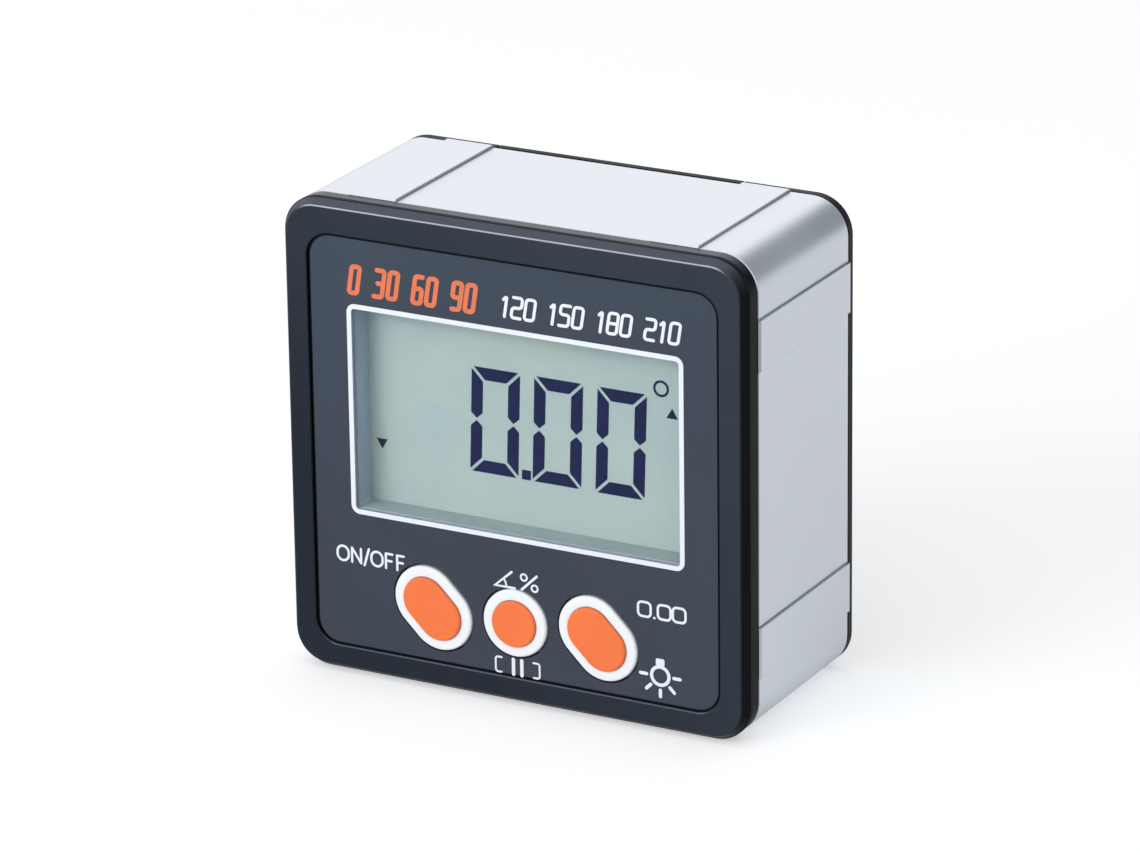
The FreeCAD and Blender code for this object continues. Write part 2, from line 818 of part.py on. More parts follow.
def contact_plate(x_low, x_high, end_z, inward):
    """A flat plate that lies on an end wall of the bay."""
    low = cell_axis_depth - cell_radius + contact_inset
    high = cell_axis_depth + cell_radius - contact_inset
    return box(x_low, x_high, low, high, min(end_z, end_z + inward * strip_metal),
               max(end_z, end_z + inward * strip_metal))


def nub_button(x, end_z, inward):
    """A pressed button on a plate, which meets a cell's nub."""
    height = contact_space - strip_metal - contact_seat
    foot = Vector(x, cell_axis_depth, end_z + inward * strip_metal)
    return Part.makeCylinder(cell_nub_radius, height, foot, Vector(0, 0, inward))


def bridge_contact():
    """The plate that joins the two cells at the bay's lower end."""
    half = contact_width / 2
    plate = contact_plate(-cell_x - half, cell_x + half, bay_low_z, 1)
    leaf = leaf_profile(-cell_x - half, -cell_x + half, bay_low_z, 1)
    return joined([plate, leaf, nub_button(cell_x, bay_low_z, 1)])


def end_contacts():
    """The two contacts at the bay's upper end, with tails through its floor."""
    half = contact_width / 2
    contacts = []
    for x, pressed in ((-cell_x, nub_button(-cell_x, bay_high_z, -1)),
                       (cell_x, leaf_profile(cell_x - half, cell_x + half, bay_high_z, -1))):
        plate = contact_plate(x - half, x + half, bay_high_z, -1)
        tail = box(x - tail_width / 2, x + tail_width / 2, board_rear + lead_seat,
                   cell_axis_depth - cell_radius + contact_inset, bay_high_z - strip_metal, bay_high_z)
        contacts.append(joined([plate, tail, pressed]))
    return group(contacts)


def lead(side):
    """An insulated lead from a contact's tail to its pad, lying on the rear of the board."""
    y = board_rear + lead_radius + lead_seat
    z = bay_high_z - strip_metal / 2
    start = Vector(side * (cell_x + tail_width / 2), y, z)
    corner = start + Vector(side * lead_run, 0, 0)
    bend_start = corner - Vector(side * lead_bend, 0, 0)
    bend_end = corner - Vector(0, 0, lead_bend)
    end = corner - Vector(0, 0, lead_drop)
    turn = Vector(bend_start.x, y, bend_end.z)
    angle = math.pi / 4
    middle = turn + Vector(side * lead_bend * math.sin(angle), 0, lead_bend * math.cos(angle))
    path = Part.Wire([
        Part.LineSegment(start, bend_start).toShape(),
        Part.Arc(bend_start, middle, bend_end).toShape(),
        Part.LineSegment(bend_end, end).toShape(),
    ])
    section = Part.Wire([Part.makeCircle(lead_radius, start, Vector(1, 0, 0))])
    return path.makePipeShell([section], True, False)


def pieces():
    """Every piece by its name."""
    built = {
        "front_bezel": front_bezel(),
        "panel_overlay": panel_overlay(),
        "display_lens": display_lens(),
        "display_holder": display_holder(),
        "display_glass": display_glass(),
        "light_guide": light_guide(),
        "backlight_lamps": backlight_lamps(),
        "contact_strips": contact_strips(),
        "main_board": main_board(),
        "switch_bodies": switch_bodies(),
        "switch_legs": switch_legs(),
        "controller_chip": chip(chip_size, chip_thickness, chip_x, window_centre_z),
        "chip_legs": chip_legs(),
        "tilt_sensor": chip(sensor_size, sensor_thickness, -chip_x, window_centre_z - sensor_drop),
        "board_screws": board_screws(),
        "ring_frame": ring_frame(),
        "base_magnets": base_magnets(),
        "rear_cover": rear_cover(),
        "cover_screws": cover_screws(),
        "battery_door": battery_door(),
        "left_cell": cell(-cell_x, True),
        "right_cell": cell(cell_x, False),
        "bridge_contact": bridge_contact(),
        "end_contacts": end_contacts(),
        "positive_lead": lead(-1),
        "negative_lead": lead(1),
    }
    for name, x, spread in key_places():
        built[name + "_key_cap"] = key_cap(x, spread)
        built[name + "_key_face"] = key_face(x, spread)
        built[name + "_key_plunger"] = key_plunger(x)
    return built


def main():
    os.makedirs("parts", exist_ok=True)
    shift = Vector(0, front_shift, pad_height)
    for name, shape in pieces().items():
        shape.translate(shift)
        shape.exportStep("parts/" + name + ".step")
        print(name, "solids", len(shape.Solids), "valid", shape.isValid(), "volume", round(shape.Volume, 2))


main()
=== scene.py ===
"""Finishes, printed marks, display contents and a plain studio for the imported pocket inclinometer.

Lengths are written in millimetres and turned into metres where a mesh or a lamp is made. x runs to the
right of the display, y from the display to the battery door, and z up from the plane of the base pads.
"""

import logging
import math
from dataclasses import dataclass
from enum import Enum
from typing import ClassVar

import bpy
from mathutils import Matrix, Vector

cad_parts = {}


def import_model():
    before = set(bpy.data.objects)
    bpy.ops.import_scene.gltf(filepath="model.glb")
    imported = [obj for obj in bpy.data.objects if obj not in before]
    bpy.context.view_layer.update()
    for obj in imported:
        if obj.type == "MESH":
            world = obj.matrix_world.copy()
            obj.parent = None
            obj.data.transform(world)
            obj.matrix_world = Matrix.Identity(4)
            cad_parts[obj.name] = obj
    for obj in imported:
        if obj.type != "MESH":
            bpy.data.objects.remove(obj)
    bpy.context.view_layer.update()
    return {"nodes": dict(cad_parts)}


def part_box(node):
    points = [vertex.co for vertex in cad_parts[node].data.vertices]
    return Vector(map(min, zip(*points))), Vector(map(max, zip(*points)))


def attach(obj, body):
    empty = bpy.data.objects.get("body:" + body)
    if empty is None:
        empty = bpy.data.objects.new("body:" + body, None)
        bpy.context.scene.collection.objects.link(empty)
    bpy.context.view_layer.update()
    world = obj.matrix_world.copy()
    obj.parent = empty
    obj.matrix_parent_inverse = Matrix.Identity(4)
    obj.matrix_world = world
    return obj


LOG = logging.getLogger("inclinometer")
MM = 0.001

Point = tuple[float, float]
Triple = tuple[float, float, float]
Colour = tuple[float, float, float, float]
Feed = float | bpy.types.NodeSocket
Tint = Colour | bpy.types.NodeSocket


def seen(red: int, green: int, blue: int) -> Colour:
    """Turn a colour as a screen shows it into the linear values that shaders use.

    Args:
        red: Red, 0 to 255.
        green: Green, 0 to 255.
        blue: Blue, 0 to 255.

    Returns:
        Linear red, green and blue, with an alpha of 1.
    """
    linear = []
    for value in (red, green, blue):
        share = value / 255
        linear.append(share / 12.92 if share <= 0.04045 else ((share + 0.055) / 1.055) ** 2.4)
    return (linear[0], linear[1], linear[2], 1.0)


class Bench:
    """A node tree with short calls that place and join its nodes."""

    def __init__(self, tree: bpy.types.NodeTree) -> None:
        """Keep the tree that the nodes go into."""
        self.tree = tree

    def node(self, kind: str, inputs: dict[str | int, object] | None = None,
             **settings: object) -> bpy.types.Node:
        """Place one node.

        Args:
            kind: The node's type, without the leading ShaderNode.
            inputs: Sockets by name or number, each with a plain value or the output that feeds it.
            **settings: The node's own properties.

        Returns:
            The placed node.
        """
        placed = self.tree.nodes.new("ShaderNode" + kind)
        for name, value in settings.items():
            setattr(placed, name, value)
        for name, value in (inputs or {}).items():
            socket = placed.inputs[name]
            if isinstance(value, bpy.types.NodeSocket):
                self.tree.links.new(value, socket)
            else:
                socket.default_value = value
        return placed

    def maths(self, operation: str, first: Feed, second: Feed = 0.0) -> bpy.types.NodeSocket:
        """Place a Math node and return its output."""
        return self.node("Math", {0: first, 1: second}, operation=operation).outputs[0]

    def blend(self, share: Feed, low: Tint, high: Tint) -> bpy.types.NodeSocket:
        """Mix two colours by a share and return the mixed colour."""
        return self.node("Mix", {0: share, 6: low, 7: high}, data_type="RGBA").outputs[2]

    def place(self) -> bpy.types.NodeSocket:
        """Where a point of the surface lies in the part's own frame, in metres."""
        return self.node("TexCoord").outputs["Object"]

    def spread(self, value: Feed, low: Feed, high: Feed, start: Feed = 0.0,
               end: Feed = 1.0) -> bpy.types.NodeSocket:
        """Turn one range of values into another and hold it at its ends.

        Args:
            value: What is turned.
            low: The value that gives the start.
            high: The value that gives the end.
            start: The result at the low value.
            end: The result at the high value.

        Returns:
            The output with the turned value.
        """
        return self.node("MapRange", {"Value": value, "From Min": low, "From Max": high, "To Min": start,
                                      "To Max": end}).outputs[0]

    def group(self, tree: bpy.types.NodeTree, **inputs: float) -> bpy.types.NodeOutputs:
        """Place a shared effect with its own values.

        Args:
            tree: The effect's node group.
            **inputs: Its inputs, each name with an underscore for a space.

        Returns:
            The placed effect's outputs.
        """
        placed = self.node("Group", node_tree=tree)
        for name, value in inputs.items():
            placed.inputs[name.replace("_", " ")].default_value = value
        return placed.outputs


class Effects:
    """Node groups that several materials share, each built once."""

    built: ClassVar[dict[str, bpy.types.NodeTree]] = {}
    grain_noise: ClassVar[dict[str, float]] = {"Detail": 2.0, "Roughness": 0.6}
    drawn_noise: ClassVar[dict[str, float]] = {"Detail": 3.0, "Roughness": 0.7}
    drawn_squeeze: ClassVar[Triple] = (1.0, 0.04, 1.0)
    patch_noise: ClassVar[dict[str, float]] = {"Detail": 3.0, "Roughness": 0.55, "Distortion": 0.4}
    patch_low: ClassVar[float] = 0.3
    patch_high: ClassVar[float] = 0.7
    edge_samples: ClassVar[int] = 4
    crevice_samples: ClassVar[int] = 6
    crevice_open: ClassVar[float] = 0.85
    crevice_shut: ClassVar[float] = 0.58

    @classmethod
    def shell(cls, name: str, inputs: dict[str, float], outputs: tuple[str, ...]) -> tuple[Bench, dict, dict]:
        """Start a group with number inputs and number outputs.

        Args:
            name: The group's name.
            inputs: The inputs' names and default values.
            outputs: The outputs' names.

        Returns:
            The bench of the group's tree, its input sockets by name and the node that takes its outputs.
        """
        tree = bpy.data.node_groups.new(name, "ShaderNodeTree")
        for socket, value in inputs.items():
            made = tree.interface.new_socket(socket, in_out="INPUT", socket_type="NodeSocketFloat")
            made.default_value = value
        for socket in outputs:
            tree.interface.new_socket(socket, in_out="OUTPUT", socket_type="NodeSocketFloat")
        entry = tree.nodes.new("NodeGroupInput")
        leave = tree.nodes.new("NodeGroupOutput")
        cls.built[name] = tree
        return Bench(tree), entry.outputs, leave.inputs

    @staticmethod
    def noise(bench: Bench, place: bpy.types.NodeSocket, size: bpy.types.NodeSocket,
              look: dict[str, float]) -> bpy.types.NodeSocket:
        """Soft noise whose blobs have a size.

        Args:
            bench: The group's bench.
            place: Where each point lies, in metres.
            size: The output with the size, in millimetres.
            look: The noise's detail, roughness and distortion.

        Returns:
            The noise's output.
        """
        scale = bench.maths("DIVIDE", 1 / MM, size)
        return bench.node("TexNoise", {"Vector": place, "Scale": scale, **look}).outputs[0]

    @classmethod
    def grain(cls) -> bpy.types.NodeTree:
        """Fine even grain of a moulded, blasted or printed surface, as a height.

        Returns:
            The effect's node group.
        """
        if "surface grain" not in cls.built:
            bench, take, give = cls.shell("surface grain", {"Size mm": 0.2}, ("Height",))
            noise = cls.noise(bench, bench.place(), take["Size mm"], cls.grain_noise)
            bench.tree.links.new(noise, give["Height"])
        return cls.built["surface grain"]

    @classmethod
    def drawn(cls) -> bpy.types.NodeTree:
        """Fine lines along the depth, as an extrusion's die and a brush leave them, as a height.

        Returns:
            The effect's node group.
        """
        if "drawn lines" not in cls.built:
            bench, take, give = cls.shell("drawn lines", {"Size mm": 0.2}, ("Height",))
            long = bench.node("VectorMath", {0: bench.place(), 1: cls.drawn_squeeze}, operation="MULTIPLY")
            noise = cls.noise(bench, long.outputs[0], take["Size mm"], cls.drawn_noise)
            bench.tree.links.new(noise, give["Height"])
        return cls.built["drawn lines"]

    @classmethod
    def handling(cls) -> bpy.types.NodeTree:
        """Broad soft patches, as handling and uneven moulding leave them.

        Returns:
            The effect's node group.
        """
        if "handling patches" not in cls.built:
            bench, take, give = cls.shell("handling patches", {"Size mm": 14.0}, ("Value",))
            noise = cls.noise(bench, bench.place(), take["Size mm"], cls.patch_noise)
            bench.tree.links.new(bench.spread(noise, cls.patch_low, cls.patch_high), give["Value"])
        return cls.built["handling patches"]

    @classmethod
    def edges(cls) -> bpy.types.NodeTree:
        """A mask that is 1 along outer edges and 0 on open faces, for painted highlight or shade there.

        Returns:
            The effect's node group.
        """
        if "edge painted light" not in cls.built:
            bench, take, give = cls.shell("edge painted light", {"Width mm": 0.15, "Gain": 6.0}, ("Mask",))
            radius = bench.maths("MULTIPLY", take["Width mm"], MM)
            rounded = bench.node("Bevel", {"Radius": radius}, samples=cls.edge_samples)
            plain = bench.node("NewGeometry").outputs["Normal"]
            dot = bench.node("VectorMath", {0: rounded.outputs[0], 1: plain}, operation="DOT_PRODUCT")
            turn = bench.maths("SUBTRACT", 1.0, dot.outputs["Value"])
            mask = bench.node("Math", {0: turn, 1: take["Gain"]}, operation="MULTIPLY", use_clamp=True)
            bench.tree.links.new(mask.outputs[0], give["Mask"])
        return cls.built["edge painted light"]

    @classmethod
    def crevices(cls) -> bpy.types.NodeTree:
        """A mask that is 1 in a narrow gap or an inner corner, for painted shade there.

        Returns:
            The effect's node group.
        """
        if "crevice painted shade" not in cls.built:
            bench, take, give = cls.shell("crevice painted shade", {"Width mm": 0.35}, ("Mask",))
            reach = bench.maths("MULTIPLY", take["Width mm"], MM)
            shade = bench.node("AmbientOcclusion", {"Distance": reach}, samples=cls.crevice_samples)
            mask = bench.spread(shade.outputs["AO"], cls.crevice_open, cls.crevice_shut)
            bench.tree.links.new(mask, give["Mask"])
        return cls.built["crevice painted shade"]


@dataclass(frozen=True)
class Finish:
    """A solid surface: colour, gloss, grain, patches, painted edge light and painted crevice shade."""

    name: str
    colour: Colour
    roughness: float
    metallic: float = 0.0
    specular: float = 0.3
    grain_size: float = 0.2
    grain_depth: float = 0.0
    patch_size: float = 14.0
    patch_roughness: float = 0.04
    patch_tone: float = 0.06
    edge_width: float = 0.12
    edge_tone: float = 0.0
    crevice_width: float = 0.35
    crevice_tone: float = 0.0

    def base(self, bench: Bench) -> bpy.types.NodeSocket:
        """The colour before patches, painted edge light and painted crevice shade.

        Args:
            bench: The material's bench.

        Returns:
            The colour's output.
        """
        placed = bench.node("RGB")
        placed.outputs[0].default_value = self.colour
        return placed.outputs[0]

    def toned(self, bench: Bench, patch: bpy.types.NodeSocket) -> bpy.types.NodeSocket:
        """The colour with its patches, painted edge light and painted crevice shade.

        Args:
            bench: The material's bench.
            patch: The mask of the broad patches.

        Returns:
            The output with the finished colour.
        """
        colour = self.base(bench)
        dim = bench.node("HueSaturation", {"Color": colour, "Value": 1.0 - self.patch_tone})
        toned = bench.blend(patch, dim.outputs[0], colour)
        # Painted light on edges: a tone above 0 paints a lighter sheen, below 0 paints shade that dims a
        # reflection.
        if self.edge_tone:
            edge_mask = bench.group(Effects.edges(), Width_mm=self.edge_width)["Mask"]
            edge_painted = bench.node("HueSaturation", {"Color": colour, "Value": 1.0 + self.edge_tone})
            toned = bench.blend(edge_mask, toned, edge_painted.outputs[0])
        # Painted shade in narrow gaps and inner corners.
        if self.crevice_tone:
            deep = bench.group(Effects.crevices(), Width_mm=self.crevice_width)["Mask"]
            crevice_shaded = bench.node("HueSaturation", {"Color": colour, "Value": 1.0 - self.crevice_tone})
            toned = bench.blend(deep, toned, crevice_shaded.outputs[0])
        return toned

    def surface(self, bench: Bench) -> bpy.types.Node:
        """Build the finish on a bench.

        Args:
            bench: The material's bench.

        Returns:
            The Principled BSDF that carries the finish.
        """
        patch = bench.group(Effects.handling(), Size_mm=self.patch_size)["Value"]
        rough = bench.spread(patch, 0.0, 1.0, self.roughness - self.patch_roughness,
                             self.roughness + self.patch_roughness)
        shader = bench.node("BsdfPrincipled", {
            "Base Color": self.toned(bench, patch), "Roughness": rough,
            "Metallic": self.metallic, "Specular IOR Level": self.specular})
        if self.grain_depth:
            bump = bench.node("Bump", {"Height": self.relief(bench), "Distance": self.grain_depth * MM})
            bench.tree.links.new(bump.outputs[0], shader.inputs["Normal"])
        return shader

    def relief(self, bench: Bench) -> bpy.types.NodeSocket:
        """The height of the surface's grain, as an output socket."""
        return bench.group(Effects.grain(), Size_mm=self.grain_size)["Height"]

    def material(self) -> bpy.types.Material:
        """Make the material, or give the one made before under this name.

        Returns:
            The material.
        """
        made = bpy.data.materials.get(self.name)
        if made is not None:
            return made
        made = bpy.data.materials.new(self.name)
        made.use_nodes = True
        made.node_tree.nodes.clear()
        bench = Bench(made.node_tree)
        bench.node("OutputMaterial", {"Surface": self.surface(bench).outputs[0]})
        made.diffuse_color = self.colour
        return made


@dataclass(frozen=True)
class DrawnFinish(Finish):
    """Extruded metal, with fine lines along its length."""

    def relief(self, bench: Bench) -> bpy.types.NodeSocket:
        """The height of the drawn lines."""
        return bench.group(Effects.drawn(), Size_mm=self.grain_size)["Height"]


@dataclass(frozen=True)
class PaintedLightFinish(Finish):
    """A surface with painted light: its colour runs slowly along one direction to a far colour."""

    # The colour at the far end; the blend towards it is painted light.
    far: Colour = seen(128, 128, 128)
    way: Triple = (0.0, 0.0, 1.0)
    start: float = 0.0
    end: float = 58.0

    def base(self, bench: Bench) -> bpy.types.NodeSocket:
        """The colour at the start, the far colour at the end and a blend between.

        Args:
            bench: The material's bench.

        Returns:
            The colour's output.
        """
        along = bench.node("VectorMath", {0: bench.place(), 1: self.way}, operation="DOT_PRODUCT")
        share = bench.spread(along.outputs["Value"], self.start * MM, self.end * MM)
        return bench.blend(share, self.colour, self.far)


@dataclass(frozen=True)
class RimFinish(PaintedLightFinish):
    """Moulded plastic, coated thickest on top, with painted light: a lighter top, shaded flanks and a painted
    glint.
    """

    turn_from: float = 0.35
    turn_to: float = 0.85
    coat: float = 0.4
    # Painted light: the lighter tint of upward faces.
    top: Colour = seen(70, 77, 90)
    top_coat: float = 0.45
    # Painted shade: the darker tint of faces that look left or right.
    shaded_flank: Colour = seen(15, 18, 22)
    # Painted highlight: the glint along the front's top edge.
    glint: Colour = seen(176, 182, 194)
    glint_low: float = 0.28
    glint_high: float = 0.72
    glint_fade: float = 0.12

    @staticmethod
    def normal(bench: Bench) -> bpy.types.NodeOutputs:
        """The X, Y and Z of the surface's normal."""
        return bench.node("SeparateXYZ", {"Vector": bench.node("NewGeometry").outputs["Normal"]}).outputs

    def upward(self, bench: Bench) -> bpy.types.NodeSocket:
        """A mask that is 1 where the surface looks up."""
        return bench.spread(self.normal(bench)["Z"], self.turn_from, self.turn_to)

    def sideways(self, bench: Bench) -> bpy.types.NodeSocket:
        """A mask that is 1 where the surface looks to the left or right."""
        return bench.spread(bench.maths("ABSOLUTE", self.normal(bench)["X"]), self.turn_from, self.turn_to)

    def edge(self, bench: Bench) -> bpy.types.NodeSocket:
        """A mask that is 1 on the turn between the front and the top, where the glint is painted.

        Args:
            bench: The material's bench.

        Returns:
            The mask's output.
        """
        parts = self.normal(bench)
        low = bench.spread(parts["Z"], self.glint_low, self.glint_low + self.glint_fade)
        high = bench.spread(parts["Z"], self.glint_high, self.glint_high - self.glint_fade)
        front = bench.spread(parts["Y"], 0.0, -self.glint_low)
        level = bench.spread(bench.maths("ABSOLUTE", parts["X"]), self.glint_low, self.glint_fade)
        turn = bench.maths("MULTIPLY", low, high)
        return bench.maths("MULTIPLY", turn, bench.maths("MULTIPLY", front, level))

    def base(self, bench: Bench) -> bpy.types.NodeSocket:
        """The painted light: the fading colour in front, a lighter tint on top, painted shade on the flanks
        and a painted glint on the front's top edge.

        Args:
            bench: The material's bench.

        Returns:
            The colour's output.
        """
        upper = bench.blend(self.upward(bench), super().base(bench), self.top)
        sided = bench.blend(self.sideways(bench), upper, self.shaded_flank)
        return bench.blend(self.edge(bench), sided, self.glint)

    def surface(self, bench: Bench) -> bpy.types.Node:
        """Build the plastic with a polish that is thickest on top and missing on the flanks.

        Args:
            bench: The material's bench.

        Returns:
            The Principled BSDF that carries the finish.
        """
        shader = super().surface(bench)
        upper = bench.spread(self.upward(bench), 0.0, 1.0, self.coat, self.top_coat)
        polish = bench.spread(self.sideways(bench), 0.0, 1.0, upper, 0.0)
        bench.tree.links.new(polish, shader.inputs["Coat Weight"])
        shader.inputs["Coat Roughness"].default_value = self.roughness
        return shader


@dataclass(frozen=True)
class HolderFinish(Finish):
    """Grey plastic with painted light: a paler tint on its upward and forward faces."""

    # Painted light on faces that look up or to the front.
    pale: Colour = seen(152, 167, 169)
    pale_way: Triple = (0.0, -1.0, 1.0)
    pale_from: float = 0.3
    pale_to: float = 0.8

    def base(self, bench: Bench) -> bpy.types.NodeSocket:
        """The painted light: a paler tint on faces that look up or to the front.

        Args:
            bench: The material's bench.

        Returns:
            The colour's output.
        """
        normal = bench.node("NewGeometry").outputs["True Normal"]
        lean = bench.node("VectorMath", {0: normal, 1: self.pale_way}, operation="DOT_PRODUCT")
        share = bench.spread(lean.outputs["Value"], self.pale_from, self.pale_to)
        return bench.blend(share, self.colour, self.pale)


@dataclass(frozen=True)
class DisplayFinish(Finish):
    """The grey-green face of the display, with soft cloudy tints."""

    cool: Colour = seen(149, 165, 167)
    cloud_size: float = 16.0

    def base(self, bench: Bench) -> bpy.types.NodeSocket:
        """Two close tints that drift into each other."""
        cloud = bench.group(Effects.handling(), Size_mm=self.cloud_size)["Value"]
        return bench.blend(cloud, self.colour, self.cool)


@dataclass(frozen=True)
class BoardFinish(Finish):
    """Green solder mask with the traces under it as a fine pattern."""

    trace: Colour = seen(70, 132, 78)
    trace_pitch: float = 2.4
    trace_core: float = 0.05
    trace_rim: float = 0.09

    def base(self, bench: Bench) -> bpy.types.NodeSocket:
        """Lines between the cells of a fine pattern, under the mask's green.

        Args:
            bench: The material's bench.

        Returns:
            The colour's output.
        """
        cells = bench.node("TexVoronoi", {"Vector": bench.place(), "Scale": 1 / (self.trace_pitch * MM)},
                           feature="DISTANCE_TO_EDGE")
        line = bench.spread(cells.outputs["Distance"], self.trace_core, self.trace_rim)
        return bench.blend(line, self.trace, self.colour)


@dataclass(frozen=True)
class CellFinish(Finish):
    """A cell's printed sleeve: a dark band and a brass-coloured band."""

    band: Colour = seen(196, 140, 70)
    band_from: float = 38.0

    def base(self, bench: Bench) -> bpy.types.NodeSocket:
        """The band above one height, the sleeve's own colour below it.

        Args:
            bench: The material's bench.

        Returns:
            The colour's output.
        """
        height = bench.node("SeparateXYZ", {"Vector": bench.place()}).outputs["Z"]
        above = bench.maths("GREATER_THAN", height, self.band_from * MM)
        return bench.blend(above, self.colour, self.band)


@dataclass(frozen=True)
class ClearFinish(Finish):
    """Clear plastic that lets the lamps' light through to what lies behind it."""

    index: float = 1.3

    def surface(self, bench: Bench) -> bpy.types.Node:
        """A clear Principled BSDF, and a plain tint for the lamps' shadow rays.

        Args:
            bench: The material's bench.

        Returns:
            The shader that chooses between the two.
        """
        patch = bench.group(Effects.handling(), Size_mm=self.patch_size)["Value"]
        haze = bench.maths("MULTIPLY", patch, self.roughness)
        clear = bench.node("BsdfPrincipled", {
            "Base Color": self.colour, "Roughness": haze, "Transmission Weight": 1.0, "IOR": self.index,
            "Specular IOR Level": self.specular})
        through = bench.node("BsdfTransparent", {"Color": self.colour})
        shadow = bench.node("LightPath").outputs["Is Shadow Ray"]
        return bench.node("MixShader", {0: shadow, 1: clear.outputs[0], 2: through.outputs[0]})


# crevice_tone in these finishes paints shade in gaps and inner corners; the rim's lighter far end and top,
# shaded flanks and glint are painted light and shade.
RIM_PLASTIC = RimFinish("bezel plastic", seen(31, 39, 50), 0.28, specular=0.06, grain_size=0.35,
                        grain_depth=0.003, patch_size=20.0, patch_roughness=0.05, patch_tone=0.12,
                        crevice_tone=0.8, far=seen(50, 57, 67), way=(0.707, 0.0, 0.707), end=42.0)
# The film's far colour is painted light, lighter towards its top.
PANEL_FILM = PaintedLightFinish("panel film", seen(60, 67, 80), 0.42, grain_size=0.12, grain_depth=0.002,
                         patch_size=30.0, patch_tone=0.15, crevice_width=0.2, crevice_tone=0.6,
                         far=seen(62, 72, 86), way=(-0.2, 0.0, 0.98), end=56.0)
LENS = ClearFinish("clear lens", (0.975, 0.985, 0.985, 1.0), 0.02)
# The holder's pale tint is painted light on faces that look up or to the front.
HOLDER = HolderFinish("holder plastic", seen(148, 165, 181), 0.5, specular=0.15, grain_size=0.3,
                      grain_depth=0.004)
DISPLAY = DisplayFinish("display face", seen(156, 170, 166), 0.3, specular=0.1, patch_tone=0.02)
LENS_MASK = Finish("lens mask", seen(160, 172, 188), 0.5, specular=0.1)
GUIDE = Finish("milky guide", seen(232, 236, 232), 0.35)
LAMP_RESIN = Finish("lamp resin", seen(232, 220, 158), 0.25, specular=0.5)
STRIP_RUBBER = Finish("strip rubber", seen(196, 150, 140), 0.7, grain_size=0.3, grain_depth=0.01)
BOARD = BoardFinish("board mask", seen(30, 94, 48), 0.3, specular=0.5)
SWITCH = Finish("switch plastic", seen(38, 38, 40), 0.45, grain_depth=0.004)
PLUNGER = Finish("plunger plastic", seen(80, 80, 84), 0.4)
RESIN = Finish("chip resin", seen(34, 34, 36), 0.55, grain_size=0.08, grain_depth=0.004)
SCREW = Finish("zinc plating", seen(176, 178, 184), 0.32, metallic=1.0, grain_size=0.15, grain_depth=0.003,
               crevice_tone=0.6)
# The aluminium's edge_tone below 0 is painted shade that dims its edges' reflections.
ALUMINIUM = DrawnFinish("satin aluminium", seen(236, 240, 247), 0.34, metallic=1.0, grain_size=0.16,
                        grain_depth=0.004, patch_size=22.0, patch_roughness=0.03, patch_tone=0.02,
                        edge_width=0.2, edge_tone=-0.1, crevice_width=0.4, crevice_tone=0.8)
NICKEL = Finish("nickel plating", seen(206, 204, 198), 0.18, metallic=1.0, grain_depth=0.001,
                crevice_tone=0.5)
# The cover's edge_tone paints a sheen on its edges.
COVER = Finish("cover plastic", seen(28, 30, 34), 0.45, specular=0.15, grain_size=0.4, grain_depth=0.03,
               patch_roughness=0.05, edge_tone=0.4, crevice_tone=0.7)
SLEEVE = CellFinish("cell sleeve", seen(36, 44, 62), 0.25, metallic=0.6)
CONTACT = Finish("contact strip", seen(200, 198, 190), 0.28, metallic=1.0)
RED_LEAD = Finish("red insulation", seen(190, 40, 36), 0.45)
BLACK_LEAD = Finish("black insulation", seen(30, 30, 32), 0.45)
KEY_RING = Finish("key white", seen(236, 240, 244), 0.3, patch_tone=0.015, crevice_width=0.3,
                  crevice_tone=0.25)
KEY_FACE = Finish("key orange", seen(246, 122, 69), 0.38, grain_size=0.18, grain_depth=0.002,
                  patch_size=6.0, patch_tone=0.08, crevice_width=0.3, crevice_tone=0.3)
WHITE_INK = Finish("white ink", seen(228, 232, 238), 0.45, specular=0.2, patch_tone=0.02)
ORANGE_INK = Finish("orange ink", seen(226, 122, 86), 0.45, specular=0.2, patch_size=1.2, patch_tone=0.1)
SEGMENT_INK = Finish("segment blue", seen(0, 14, 60), 0.4, specular=0.1, patch_tone=0.1)
GHOST_INK = Finish("resting segment", seen(148, 168, 174), 0.4, specular=0.1, patch_tone=0.03)
# Dark ink for painted shade lines in gaps and grooves.
SHADE_INK = Finish("panel edge shade", seen(14, 16, 20), 0.5, specular=0.1)


@dataclass(frozen=True)
class Area:
    """A flat area as seen from the front, in millimetres."""

    left: float
    right: float
    foot: float
    head: float

    @classmethod
    def of(cls, node: str) -> "Area":
        """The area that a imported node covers."""
        low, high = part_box(node)
        return cls(low.x / MM, high.x / MM, low.z / MM, high.z / MM)

    @classmethod
    def spanned(cls, origin: Point, left: float, right: float, foot: float, head: float) -> "Area":
        """The area between sides that are measured from a point."""
        return cls(origin[0] + left, origin[0] + right, origin[1] + foot, origin[1] + head)

    @property
    def centre(self) -> Point:
        """The area's middle."""
        return ((self.left + self.right) / 2, (self.foot + self.head) / 2)

    def grown(self, by: float) -> "Area":
        """The area with a margin more on every side."""
        return Area(self.left - by, self.right + by, self.foot - by, self.head + by)

    def outline(self, radius: float, steps: int = 8) -> list[Point]:
        """The area's outline with rounded corners.

        Args:
            radius: The corners' radius.
            steps: Spans in each corner.

        Returns:
            The outline's points, anticlockwise.
        """
        corners = [(self.left, self.foot), (self.right, self.foot), (self.right, self.head),
                   (self.left, self.head)]
        return softened(corners, radius, True, steps)


def signed_area(outline: list[Point]) -> float:
    """Twice the area of an outline, above 0 where it runs anticlockwise."""
    return sum(a[0] * b[1] - b[0] * a[1] for a, b in zip(outline, outline[1:] + outline[:1]))


